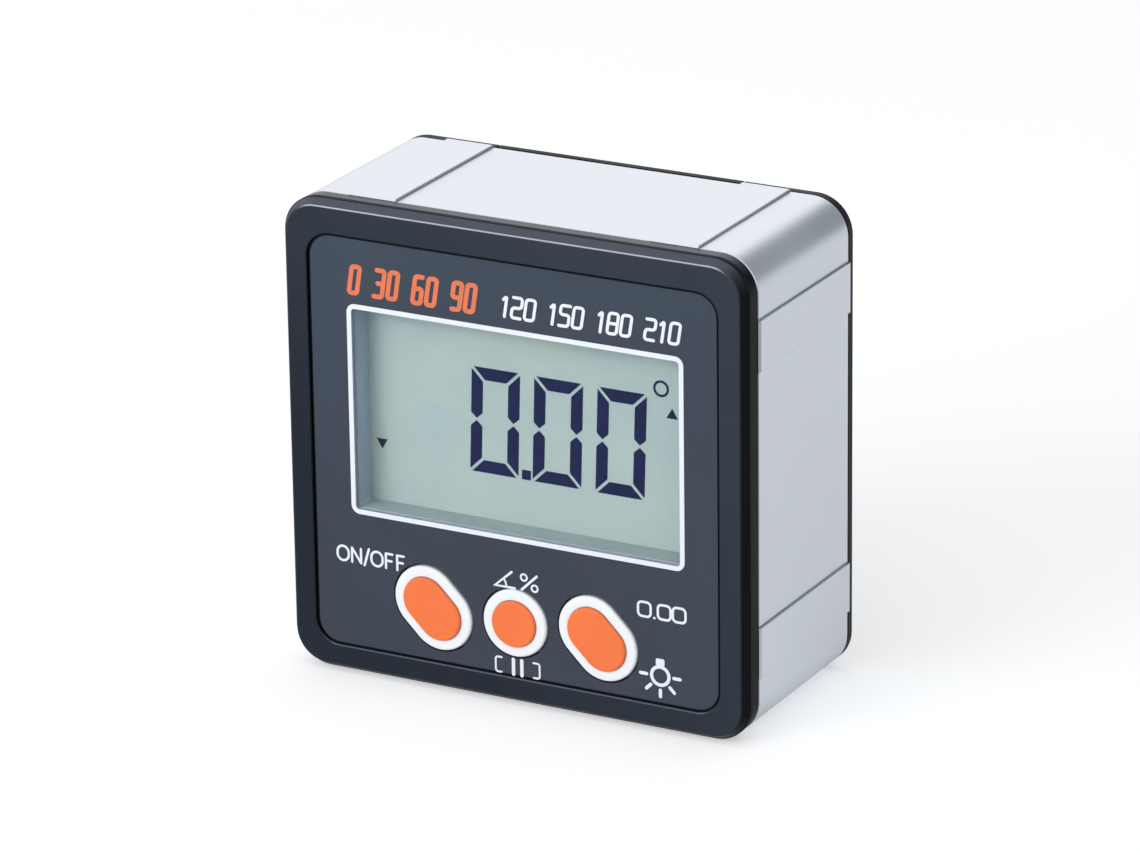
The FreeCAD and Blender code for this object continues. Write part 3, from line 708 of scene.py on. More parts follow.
class Drawing:
    """Flat points and faces that build up into one layer.

    Where lines cross, each stands a hair higher than the one before, so that no two faces coincide.
    """

    levels: ClassVar[int] = 3
    sharpest_turn: ClassVar[float] = 0.5

    def __init__(self) -> None:
        """Start with nothing drawn."""
        self.points: list[Point] = []
        self.lifts: list[float] = []
        self.faces: list[tuple[int, ...]] = []
        self.lines = 0

    @classmethod
    def band(cls, outer: list[Point], inner: list[Point]) -> "Drawing":
        """A drawing of nothing but the band between two closed outlines.

        Args:
            outer: The outer outline, anticlockwise.
            inner: The inner outline, anticlockwise, with as many points.

        Returns:
            The drawing.
        """
        drawing = cls()
        drawing.ring(outer, inner)
        return drawing

    @property
    def level(self) -> float:
        """How many hairs the next line is raised."""
        return float(self.lines % self.levels)

    def add(self, points: list[Point], lifts: list[float]) -> int:
        """Take in points.

        Args:
            points: The points.
            lifts: How many hairs each point is raised.

        Returns:
            The number of the first of them.
        """
        start = len(self.points)
        self.points += points
        self.lifts += lifts
        return start

    def polygon(self, corners: list[Point]) -> None:
        """Add one filled outline, turned anticlockwise if it isn't.

        Args:
            corners: The outline.
        """
        ordered = corners if signed_area(corners) > 0 else corners[::-1]
        start = self.add(ordered, [self.level] * len(ordered))
        self.faces.append(tuple(range(start, start + len(ordered))))
        self.lines += 1

    def ring(self, outer: list[Point], inner: list[Point]) -> None:
        """Add the band between two closed outlines with as many points each.

        Args:
            outer: The outer outline, anticlockwise.
            inner: The inner outline, anticlockwise.
        """
        count = len(outer)
        start = self.add(outer + inner, [self.level] * (2 * count))
        for index in range(count):
            after = (index + 1) % count
            self.faces.append((start + index, start + after, start + count + after, start + count + index))
        self.lines += 1

    def stroke(self, path: list[Point], width: float, closed: bool = False) -> None:
        """Add a line of even width with round ends.

        Args:
            path: The line's middle.
            width: Its width.
            closed: Whether the last point joins the first.
        """
        count = len(path)
        left: list[Point] = []
        right: list[Point] = []
        for index in range(count):
            before = path[index - 1] if index or closed else path[index]
            after = path[(index + 1) % count] if index < count - 1 or closed else path[index]
            first = (Vector(path[index]) - Vector(before)).normalized()
            second = (Vector(after) - Vector(path[index])).normalized()
            along = (first + second).normalized()
            reach = width / 2 / max(along.dot(second if second.length else first), self.sharpest_turn)
            offset = Vector((-along.y, along.x)) * reach
            left.append(tuple(Vector(path[index]) + offset))
            right.append(tuple(Vector(path[index]) - offset))
        if closed:
            if signed_area(path) > 0:
                self.ring(right, left)
            else:
                self.ring(left[::-1], right[::-1])
            return
        cap = self.half_round(path[-1], right[-1], width)
        foot = self.half_round(path[0], left[0], width)
        if count > 2:
            self.strip(right, left, cap, foot)
        else:
            self.polygon(right + cap + left[::-1] + foot)

    def strip(self, right: list[Point], left: list[Point], cap: list[Point], foot: list[Point]) -> None:
        """Add a bent line as a row of quads between its edges, with a round cap at each end.

        Args:
            right: The edge on the line's right.
            left: The edge on its left.
            cap: The round end's points, from the right edge to the left.
            foot: The round start's points, from the left edge to the right.
        """
        count = len(right)
        rising = [self.level + index / (count + 1) for index in range(count)]
        lifts = rising + rising + [rising[-1]] * len(cap) + [self.level] * len(foot)
        start = self.add(right + left + cap + foot, lifts)
        for index in range(count - 1):
            near, far = start + index, start + count + index
            self.faces.append((near, near + 1, far + 1, far))
        cap_start = start + 2 * count
        foot_start = cap_start + len(cap)
        self.faces.append((start + count - 1, *range(cap_start, foot_start), start + 2 * count - 1))
        self.faces.append((start + count, *range(foot_start, foot_start + len(foot)), start))
        self.lines += 1

    @staticmethod
    def half_round(centre: Point, begin: Point, width: float, steps: int = 6) -> list[Point]:
        """Points of a half circle, anticlockwise, without its two ends.

        Args:
            centre: The circle's centre.
            begin: The end that the points start from.
            width: The circle's width.
            steps: Spans in the half circle.

        Returns:
            The points.
        """
        start = math.atan2(begin[1] - centre[1], begin[0] - centre[0])
        found = []
        for step in range(1, steps):
            angle = start + math.pi * step / steps
            found.append((centre[0] + width / 2 * math.cos(angle), centre[1] + width / 2 * math.sin(angle)))
        return found


@dataclass(frozen=True)
class Layer:
    """A thin printed or deposited layer on a flat face that looks to the front."""

    body: str
    slot: str
    face: float
    thickness: float = 0.02
    hair: float = 0.004

    def solid(self, name: str, drawing: Drawing, finish: Finish) -> bpy.types.Object:
        """Make a closed thin solid from a flat drawing.

        Args:
            name: The piece's name.
            drawing: What the layer shows, in millimetres, x to the right and z up.
            finish: What the layer is made of.

        Returns:
            The object, riding on the layer's body.
        """
        count = len(drawing.points)
        vertices = []
        for (x, z), lift in zip(drawing.points, drawing.lifts):
            vertices.append((x * MM, (self.face - self.thickness - lift * self.hair) * MM, z * MM))
        vertices += [(x * MM, self.face * MM, z * MM) for x, z in drawing.points]
        sides = set()
        for loop in drawing.faces:
            sides.update(zip(loop, loop[1:] + loop[:1]))
        walls = [(b, a, a + count, b + count) for a, b in sorted(sides) if (b, a) not in sides]
        rear = [tuple(index + count for index in reversed(loop)) for loop in drawing.faces]
        mesh = bpy.data.meshes.new(name)
        mesh.from_pydata(vertices, [], drawing.faces + rear + walls)
        mesh.validate()
        mesh.materials.append(finish.material())
        piece = bpy.data.objects.new(name, mesh)
        bpy.context.scene.collection.objects.link(piece)
        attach(piece, self.body)
        LOG.info("%s: %d points in %s", name, len(vertices), finish.name)
        return piece


def circle(x: float, z: float, radius: float, steps: int = 40) -> list[Point]:
    """Points round a circle, anticlockwise."""
    angles = [2 * math.pi * step / steps for step in range(steps)]
    return [(x + radius * math.cos(angle), z + radius * math.sin(angle)) for angle in angles]


def softened(path: list[Point], radius: float, closed: bool, steps: int = 5) -> list[Point]:
    """Round the corners of a path.

    Args:
        path: The corners.
        radius: The largest radius that a corner gets.
        closed: Whether the last point joins the first.
        steps: Spans in each rounded corner.

    Returns:
        The path with an arc at each corner that has room for one.
    """
    found: list[Point] = []
    count = len(path)
    for index, corner in enumerate(path):
        if not closed and index in (0, count - 1):
            found.append(corner)
            continue
        here = Vector(corner)
        back = Vector(path[index - 1]) - here
        ahead = Vector(path[(index + 1) % count]) - here
        half = back.angle(ahead) / 2
        trim = min(radius / math.tan(half), back.length / 2, ahead.length / 2)
        start = here + back.normalized() * trim
        end = here + ahead.normalized() * trim
        middle = here + (back.normalized() + ahead.normalized()).normalized() * (trim / math.cos(half))
        first = start - middle
        sweep = first.angle_signed(end - middle)
        for step in range(steps + 1):
            turned = Matrix.Rotation(-sweep * step / steps, 2) @ first
            found.append(tuple(middle + turned))
    return found


@dataclass(frozen=True)
class Pen:
    """One line of a figure or letter, in shares of its width and height."""

    path: tuple[Point, ...]
    closed: bool = False
    round_share: float = 0.3


BOX_PATH = ((0.0, 0.0), (1.0, 0.0), (1.0, 1.0), (0.0, 1.0))
FIGURE_SHARES: dict[str, tuple[Pen, ...]] = {
    "0": (Pen(BOX_PATH, True),),
    "1": (Pen(((0.15, 0.82), (0.6, 1.0), (0.6, 0.0)), round_share=0.1),),
    "2": (Pen(((0.0, 1.0), (1.0, 1.0), (1.0, 0.5), (0.0, 0.5), (0.0, 0.0), (1.0, 0.0))),),
    "3": (Pen(((0.0, 1.0), (1.0, 1.0), (1.0, 0.0), (0.0, 0.0))), Pen(((0.3, 0.5), (0.9, 0.5)))),
    "5": (Pen(((1.0, 1.0), (0.0, 1.0), (0.0, 0.55), (1.0, 0.55), (1.0, 0.0), (0.0, 0.0))),),
    "6": (Pen(((0.9, 1.0), (0.0, 1.0), (0.0, 0.0), (1.0, 0.0), (1.0, 0.55), (0.1, 0.55))),),
    "8": (Pen(BOX_PATH, True), Pen(((0.1, 0.5), (0.9, 0.5)))),
    "9": (Pen(((0.1, 0.0), (1.0, 0.0), (1.0, 1.0), (0.0, 1.0), (0.0, 0.45), (0.9, 0.45))),),
    "O": (Pen(BOX_PATH, True, 0.5),),
    "N": (Pen(((0.1, 0.0), (0.1, 1.0), (0.9, 0.0), (0.9, 1.0)), round_share=0.0),),
    "F": (Pen(((0.85, 1.0), (0.12, 1.0), (0.12, 0.0)), round_share=0.0), Pen(((0.2, 0.52), (0.75, 0.52)))),
    "/": (Pen(((0.0, -0.08), (1.0, 1.08))),),
    ".": (Pen(((0.45, 0.0), (0.55, 0.0))),),
}
WIDTH_SHARES = {"/": 0.42, ".": 0.2, " ": 0.75, "1": 0.75, "F": 0.8}


@dataclass(frozen=True)
class Lettering:
    """A row of figures or letters drawn with a round pen, fitted into an area."""

    text: str
    area: Area
    pen: float
    gap: float
    slant: float = 0.0
    least_round: float = 0.01

    def drawn(self) -> Drawing:
        """The row as a drawing of its own.

        Returns:
            The drawing.
        """
        drawing = Drawing()
        self.draw(drawing)
        return drawing

    def draw(self, drawing: Drawing) -> None:
        """Add the row to a drawing.

        Args:
            drawing: What the strokes go into.
        """
        height = self.area.head - self.area.foot - self.pen
        lean = height * self.slant
        shares = [WIDTH_SHARES.get(letter, 1.0) for letter in self.text]
        free = self.area.right - self.area.left - lean - self.pen - self.gap * (len(self.text) - 1)
        unit = free / sum(shares)
        x = self.area.left + self.pen / 2
        foot = self.area.foot + self.pen / 2
        for letter, share in zip(self.text, shares):
            width = unit * share
            for line in FIGURE_SHARES.get(letter, ()):
                corners = [(x + across * width, up * height) for across, up in line.path]
                smooth = softened(corners, max(line.round_share * width, self.least_round), line.closed)
                path = [(px + pz * self.slant, foot + pz) for px, pz in smooth]
                drawing.stroke(path, self.pen, line.closed)
            x += width + self.gap


class SubAssembly:
    """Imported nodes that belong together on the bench, with the finishes that they take."""

    finishes: ClassVar[dict[str, Finish]] = {}

    def dress(self, nodes: dict[str, bpy.types.Object]) -> None:
        """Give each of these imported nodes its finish.

        Args:
            nodes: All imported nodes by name.
        """
        for name, finish in self.finishes.items():
            slots = nodes[name].data.materials
            slots.clear()
            slots.append(finish.material())
            LOG.info("%s: %s", name, finish.name)

    def build(self) -> None:
        """Add pieces of its own. A sub-assembly that needs none keeps this."""


@dataclass(frozen=True)
class Housing(SubAssembly):
    """The ring, the bezel and the rear cover, with the magnets and screws that they hold."""

    corner_round: float = 4.5
    # Sizes of the painted shade band in the bezel's groove.
    groove_shade_front: float = 1.15
    groove_shade_width: float = 0.6
    groove_shade_stand: float = 0.03
    groove_shade_inside: float = 0.2
    groove_shade_steps: int = 24

    finishes = {"ring_frame": ALUMINIUM, "front_bezel": RIM_PLASTIC, "rear_cover": COVER,
                "base_magnets": NICKEL, "cover_screws": SCREW}

    def build(self) -> None:
        """Paint shade into the shallow line round the bezel as a dark band."""
        case = Area.of("front_bezel")
        outer, inner = case.grown(self.groove_shade_stand), case.grown(-self.groove_shade_inside)
        drawing = Drawing.band(outer.outline(self.corner_round + self.groove_shade_stand, self.groove_shade_steps),
                               inner.outline(self.corner_round - self.groove_shade_inside, self.groove_shade_steps))
        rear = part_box("front_bezel")[0].y / MM + self.groove_shade_front + self.groove_shade_width
        # The band is painted shade in the groove.
        Layer("housing", "bezel_plastic", rear, self.groove_shade_width).solid("bezel_groove_shade", drawing, SHADE_INK)


class BatteryBay(SubAssembly):
    """The sliding door, the two cells and what they press on."""

    finishes = {"battery_door": COVER, "left_cell": SLEEVE, "right_cell": SLEEVE,
                "bridge_contact": CONTACT, "end_contacts": CONTACT, "positive_lead": RED_LEAD,
                "negative_lead": BLACK_LEAD}


class Electronics(SubAssembly):
    """The board with its two chips, their legs and its screws."""

    finishes = {"main_board": BOARD, "controller_chip": RESIN, "chip_legs": CONTACT, "tilt_sensor": RESIN,
                "board_screws": SCREW}


KEY_NAMES = ("power", "hold", "zero")
KEY_PIECES = {"key_cap": KEY_RING, "key_face": KEY_FACE, "key_plunger": PLUNGER}


class Keys(SubAssembly):
    """Three keys, each over its tact switch."""

    finishes = {"switch_bodies": SWITCH, "switch_legs": CONTACT} | {
        f"{key}_{piece}": finish for key in KEY_NAMES for piece, finish in KEY_PIECES.items()}


class Bar(Enum):
    """The seven bars of a figure."""

    TOP = "top"
    UPPER_LEFT = "upper left"
    UPPER_RIGHT = "upper right"
    MIDDLE = "middle"
    LOWER_LEFT = "lower left"
    LOWER_RIGHT = "lower right"
    FOOT = "foot"


ZERO_BARS = (Bar.TOP, Bar.UPPER_LEFT, Bar.UPPER_RIGHT, Bar.LOWER_LEFT, Bar.LOWER_RIGHT, Bar.FOOT)
LENS_MARGIN = 1.9


def window_area() -> Area:
    """The window's area, inside the margin by which the lens is held."""
    return Area.of("display_lens").grown(-LENS_MARGIN)


@dataclass(frozen=True)
class Display(SubAssembly):
    """The display module and what it shows: 0.00 with a degree ring, two arrows and a resting bar.

    Places on the display's face are measured from the window's lower left corner.
    """

    mask_outer: float = 0.9
    mask_inner: float = 0.15
    mask_round: float = 0.45
    mask_gap: float = 0.005
    first_figure: float = 13.35
    figure_pitch: float = 8.2
    figure_count: int = 3
    figure_width: float = 6.35
    figure_foot: float = 5.77
    figure_height: float = 12.9
    bar: float = 1.65
    gap: float = 0.26
    slant: float = 0.035
    stop_gap: float = 0.45
    stop_share: float = 0.72
    degree_place: Point = (38.35, 19.67)
    degree_radius: float = 0.86
    degree_pen: float = 0.3
    up_arrow_place: Point = (39.75, 16.87)
    down_arrow_place: Point = (1.65, 7.17)
    arrow_half_width: float = 0.75
    arrow_half_height: float = 0.62

    finishes = {"display_lens": LENS, "display_holder": HOLDER, "display_glass": DISPLAY,
                "light_guide": GUIDE, "backlight_lamps": LAMP_RESIN, "contact_strips": STRIP_RUBBER}

    def outline_of(self, bar: Bar) -> list[Point]:
        """One bar's mitred outline, from the figure's lower left corner.

        Args:
            bar: Which bar.

        Returns:
            The bar's corners.
        """
        wide, tall = self.figure_width, self.figure_height
        thick, cut = self.bar, self.gap / 2
        middle, half = tall / 2, thick / 2
        level = [(cut * 2, 0.0), (wide - cut * 2, 0.0), (wide - thick - cut, thick - cut),
                 (thick + cut, thick - cut)]
        post = [(0.0, cut * 2), (thick - cut, thick + cut), (thick - cut, middle - half),
                (half - cut / 2, middle - cut), (0.0, middle - half)]
        if bar is Bar.FOOT:
            return level
        if bar is Bar.TOP:
            return [(x, tall - z) for x, z in level]
        if bar is Bar.MIDDLE:
            return [(half, middle), (thick, middle - half), (wide - thick, middle - half),
                    (wide - half, middle), (wide - thick, middle + half), (thick, middle + half)]
        right = bar in (Bar.UPPER_RIGHT, Bar.LOWER_RIGHT)
        upper = bar in (Bar.UPPER_LEFT, Bar.UPPER_RIGHT)
        return [(wide - x if right else x, tall - z if upper else z) for x, z in post]

    def leaned(self, corners: list[Point], left: float, window: Area) -> list[Point]:
        """Move a figure's outline to its place and lean it.

        Args:
            corners: The outline, from the figure's lower left corner.
            left: The figure's left side, from the window's.
            window: The window.

        Returns:
            The outline in its place.
        """
        foot = window.foot + self.figure_foot
        return [(window.left + left + x + z * self.slant, foot + z) for x, z in corners]

    def figures(self, window: Area) -> Drawing:
        """The three zeros and the point.

        Args:
            window: The window.

        Returns:
            The drawing.
        """
        drawing = Drawing()
        for index in range(self.figure_count):
            left = self.first_figure + index * self.figure_pitch
            for bar in ZERO_BARS:
                drawing.polygon(self.leaned(self.outline_of(bar), left, window))
        dot = self.bar * self.stop_share
        stop = self.first_figure + self.figure_width + self.stop_gap
        drawing.polygon(self.leaned([(0, 0), (dot, 0), (dot, dot), (0, dot)], stop, window))
        return drawing

    def signs(self, window: Area) -> Drawing:
        """The degree ring and the two arrows.

        Args:
            window: The window.

        Returns:
            The drawing.
        """
        drawing = Drawing()
        x, z = self.degree_place
        drawing.stroke(circle(window.left + x, window.foot + z, self.degree_radius), self.degree_pen, True)
        for (x, z), up in ((self.up_arrow_place, 1), (self.down_arrow_place, -1)):
            middle = window.left + x
            tip = window.foot + z + up * self.arrow_half_height
            foot = window.foot + z - up * self.arrow_half_height
            half = self.arrow_half_width
            drawing.polygon([(middle - half, foot), (middle + half, foot), (middle, tip)])
        return drawing

    def mask(self, window: Area) -> Drawing:
        """The grey rim round the view, on the lens's rear."""
        return Drawing.band(window.grown(self.mask_outer).outline(self.mask_round),
                            window.grown(-self.mask_inner).outline(self.mask_round))

    def build(self) -> None:
        """Draw all that the display shows on the front of its glass, and the rim on the lens."""
        window = window_area()
        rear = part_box("display_lens")[1].y / MM - self.mask_gap
        Layer("housing", "holder_plastic", rear).solid("lens_mask", self.mask(window), LENS_MASK)
        layer = Layer("housing", "display_glass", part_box("display_glass")[0].y / MM)
        layer.solid("display_figures", self.figures(window), SEGMENT_INK)
        layer.solid("display_signs", self.signs(window), SEGMENT_INK)
        resting = Drawing()
        before = self.first_figure - self.figure_pitch
        resting.polygon(self.leaned(self.outline_of(Bar.MIDDLE), before, window))
        layer.solid("resting_bar", resting, GHOST_INK)


@dataclass(frozen=True)
class FrontPanel(SubAssembly):
    """The printed film: its window border, two scales of plain figures, captions and signs.

    The scales are measured from the window's head and the captions from the middles of the keys.
    """

    border_width: float = 0.58
    border_round: float = 1.1
    window_round: float = 0.45
    lining: float = 0.03
    film_round: float = 2.85
    film_line: float = 0.14
    film_inset: float = 0.01
    orange_text: str = "0 30 60 90"
    white_text: str = "120 150 180 210"
    scale_slant: float = 0.16
    scale_reach: float = 0.5
    orange_width: float = 17.4
    orange_foot: float = 1.65
    orange_head: float = 5.45
    orange_pen: float = 0.58
    orange_gap: float = 0.72
    white_start: float = 19.5
    white_foot: float = 1.85
    white_head: float = 4.7
    white_pen: float = 0.38
    white_gap: float = 0.5
    caption_pen: float = 0.3
    caption_gap: float = 0.3
    switch_text: str = "ON/OFF"
    switch_sides: tuple[float, float, float, float] = (-12.97, -3.57, 3.75, 5.85)
    zero_text: str = "0.00"
    zero_sides: tuple[float, float, float, float] = (5.07, 11.47, 3.65, 5.7)
    thin_share: float = 0.8
    thick_share: float = 1.5
    sign_foot: float = 4.3
    sign_head: float = 6.25
    angle_width: float = 2.6
    angle_spread: float = 1.13
    arc_radius: float = 1.5
    arc_spans: int = 7
    percent_left: float = 0.9
    percent_right: float = 2.9
    percent_ring: float = 0.4
    percent_spans: int = 20
    pause_foot: float = -6.45
    pause_head: float = -4.6
    pause_half: float = 0.55
    pause_middle: float = 0.2
    bracket_half: float = 2.9
    bracket_tongue: float = 0.8
    lamp_place: Point = (8.01, -3.22)
    lamp_radius: float = 1.12
    lamp_pen: float = 0.42
    cap_share: float = 0.8
    cap_gap_share: float = 0.25
    ray_turn: float = math.pi / 4
    ray_first: int = 4
    ray_count: int = 5
    ray_near: float = 1.75
    ray_far: float = 2.55

    finishes = {"panel_overlay": PANEL_FILM}

    def border(self, window: Area) -> Drawing:
        """The white line round the window."""
        return Drawing.band(window.grown(self.border_width).outline(self.border_round),
                            window.outline(self.window_round))

    def edge(self, window: Area) -> Drawing:
        """A grey lining on the film's cut edge inside the window."""
        return Drawing.band(window.outline(self.window_round),
                            window.grown(-self.lining).outline(self.window_round))

    def film_edge(self, film: Area) -> Drawing:
        """Painted shade: the dark line along the film's rim, where the gap round the film lies.

        Args:
            film: The whole film.

        Returns:
            The drawing.
        """
        outer = film.grown(-self.film_inset)
        inner = outer.grown(-self.film_line)
        return Drawing.band(outer.outline(self.film_round), inner.outline(self.film_round - self.film_line))

    def orange_scale(self, window: Area) -> Drawing:
        """The larger scale, over the window's left half.

        Args:
            window: The window.

        Returns:
            The drawing.
        """
        corner = (window.left - self.scale_reach, window.head)
        area = Area.spanned(corner, 0.0, self.orange_width, self.orange_foot, self.orange_head)
        return Lettering(self.orange_text, area, self.orange_pen, self.orange_gap, self.scale_slant).drawn()

    def white_scale(self, window: Area) -> Drawing:
        """The smaller scale, over the window's right half.

        Args:
            window: The window.

        Returns:
            The drawing.
        """
        left = window.left + self.white_start
        area = Area(left, window.right + self.scale_reach, window.head + self.white_foot,
                    window.head + self.white_head)
        return Lettering(self.white_text, area, self.white_pen, self.white_gap, self.scale_slant).drawn()

    def captions(self, power: Point, zero: Point) -> Drawing:
        """The words beside the left key and the figures beside the right one.

        Args:
            power: The left key's middle.
            zero: The right key's middle.

        Returns:
            The drawing.
        """
        drawing = Drawing()
        switch = Area.spanned(power, *self.switch_sides)
        figures = Area.spanned(zero, *self.zero_sides)
        Lettering(self.switch_text, switch, self.caption_pen, self.caption_gap).draw(drawing)
        Lettering(self.zero_text, figures, self.caption_pen, self.caption_gap).draw(drawing)
        return drawing

    def lamp_sign(self, zero: Point) -> Drawing:
        """A round bulb with its cap up and rays to the sides and down.

        Args:
            zero: The right key's middle.

        Returns:
            The drawing.
        """
        drawing = Drawing()
        x, z = zero[0] + self.lamp_place[0], zero[1] + self.lamp_place[1]
        drawing.stroke(circle(x, z, self.lamp_radius), self.lamp_pen, True)
        cap_foot = z + self.lamp_radius + self.lamp_pen * self.cap_gap_share
        half = self.lamp_radius / 2
        cap = Area(x - half, x + half, cap_foot, cap_foot + self.lamp_radius * self.cap_share)
        drawing.polygon(cap.outline(self.lamp_pen / 2))
        for ray in range(self.ray_first, self.ray_first + self.ray_count):
            way = Vector((math.cos(ray * self.ray_turn), math.sin(ray * self.ray_turn)))
            near = Vector((x, z)) + way * self.ray_near
            far = Vector((x, z)) + way * self.ray_far
            drawing.stroke([tuple(near), tuple(far)], self.lamp_pen)
        return drawing

    def angle_sign(self, drawing: Drawing, corner: Point, end: float, head: float) -> None:
        """Add two legs from a corner, with an arc between them.

        Args:
            drawing: What the sign goes into.
            corner: The corner.
            end: Where the level leg ends.
            head: How high the sloping leg goes.
        """
        left, foot = corner
        rise = head - foot
        run = rise * self.angle_spread
        drawing.stroke([(left + run, head), corner, (end, foot)], self.caption_pen)
        slope = math.atan2(rise, run)
        arc = []
        for step in range(self.arc_spans + 1):
            angle = slope * step / self.arc_spans
            arc.append((left + self.arc_radius * math.cos(angle), foot + self.arc_radius * math.sin(angle)))
        drawing.stroke(arc, self.caption_pen * self.thin_share)

    def percent_sign(self, drawing: Drawing, x: float, foot: float, head: float) -> None:
        """Add a slanting line and its two rings.

        Args:
            drawing: What the sign goes into.
            x: The key's middle.
            foot: The sign's foot.
            head: The sign's head.
        """
        pen, ring = self.caption_pen, self.percent_ring
        left, right = x + self.percent_left, x + self.percent_right
        drawing.stroke([(left, foot), (right, head)], pen)
        for across, level in ((left + pen, head - ring), (right - pen, foot + ring)):
            drawing.stroke(circle(across, level, ring, self.percent_spans), pen * self.thin_share, True)

    def pause_sign(self, drawing: Drawing, middle: float, low: float, high: float) -> None:
        """Add two bars in brackets.

        Args:
            drawing: What the sign goes into.
            middle: The sign's middle.
            low: The sign's foot.
            high: The sign's head.
        """
        pen = self.caption_pen
        for side in (-1, 1):
            bar = middle + side * self.pause_half
            drawing.stroke([(bar, low), (bar, high)], pen * self.thick_share)
            edge = middle + side * self.bracket_half
            tongue = edge - side * self.bracket_tongue
            bracket = [(tongue, low), (edge, low), (edge, high), (tongue, high)]
            drawing.stroke(softened(bracket, pen, False), pen * self.thin_share)

    def key_signs(self, hold: Point) -> Drawing:
        """The angle and percent signs over the middle key, and the pause sign under it.

        Args:
            hold: The middle key's middle.

        Returns:
            The drawing.
        """
        drawing = Drawing()
        x, z = hold
        foot, head = z + self.sign_foot, z + self.sign_head
        self.angle_sign(drawing, (x - self.angle_width, foot), x, head)
        self.percent_sign(drawing, x, foot, head)
        self.pause_sign(drawing, x + self.pause_middle, z + self.pause_foot, z + self.pause_head)
        return drawing

    def build(self) -> None:
        """Print the whole panel."""
        window = window_area()
        power, hold, zero = (Area.of(f"{key}_key_cap").centre for key in KEY_NAMES)
        low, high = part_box("panel_overlay")
        ink = Layer("housing", "panel_print", low.y / MM)
        # film_edge is painted shade for the gap round the film.
        ink.solid("film_edge", self.film_edge(Area.of("panel_overlay")), SHADE_INK)
        ink.solid("window_border", self.border(window), WHITE_INK)
        ink.solid("orange_scale", self.orange_scale(window), ORANGE_INK)
        ink.solid("white_scale", self.white_scale(window), WHITE_INK)
        ink.solid("key_captions", self.captions(power, zero), WHITE_INK)
        ink.solid("lamp_sign", self.lamp_sign(zero), WHITE_INK)
        ink.solid("key_signs", self.key_signs(hold), WHITE_INK)
        through = Layer("housing", "panel_print", high.y / MM, (high.y - low.y) / MM + ink.thickness)
        through.solid("window_edge", self.edge(window), LENS_MASK)


@dataclass(frozen=True)
class Lamp:
    """One square soft lamp, with its place and side in metres and its power in watts."""

    name: str
    place: Triple
    side: float
    power: float

    def hang(self, aim: Vector) -> None:
        """Hang the lamp so that it faces a point.

        Args:
            aim: The point, in metres.
        """
        data = bpy.data.lights.new(self.name, "AREA")
        data.shape = "SQUARE"
        data.size = self.side
        data.energy = self.power
        lamp = bpy.data.objects.new(self.name, data)
        lamp.visible_glossy = False
        lamp.location = self.place
        lamp.rotation_euler = (aim - Vector(self.place)).to_track_quat("-Z", "Y").to_euler()
        bpy.context.scene.collection.objects.link(lamp)


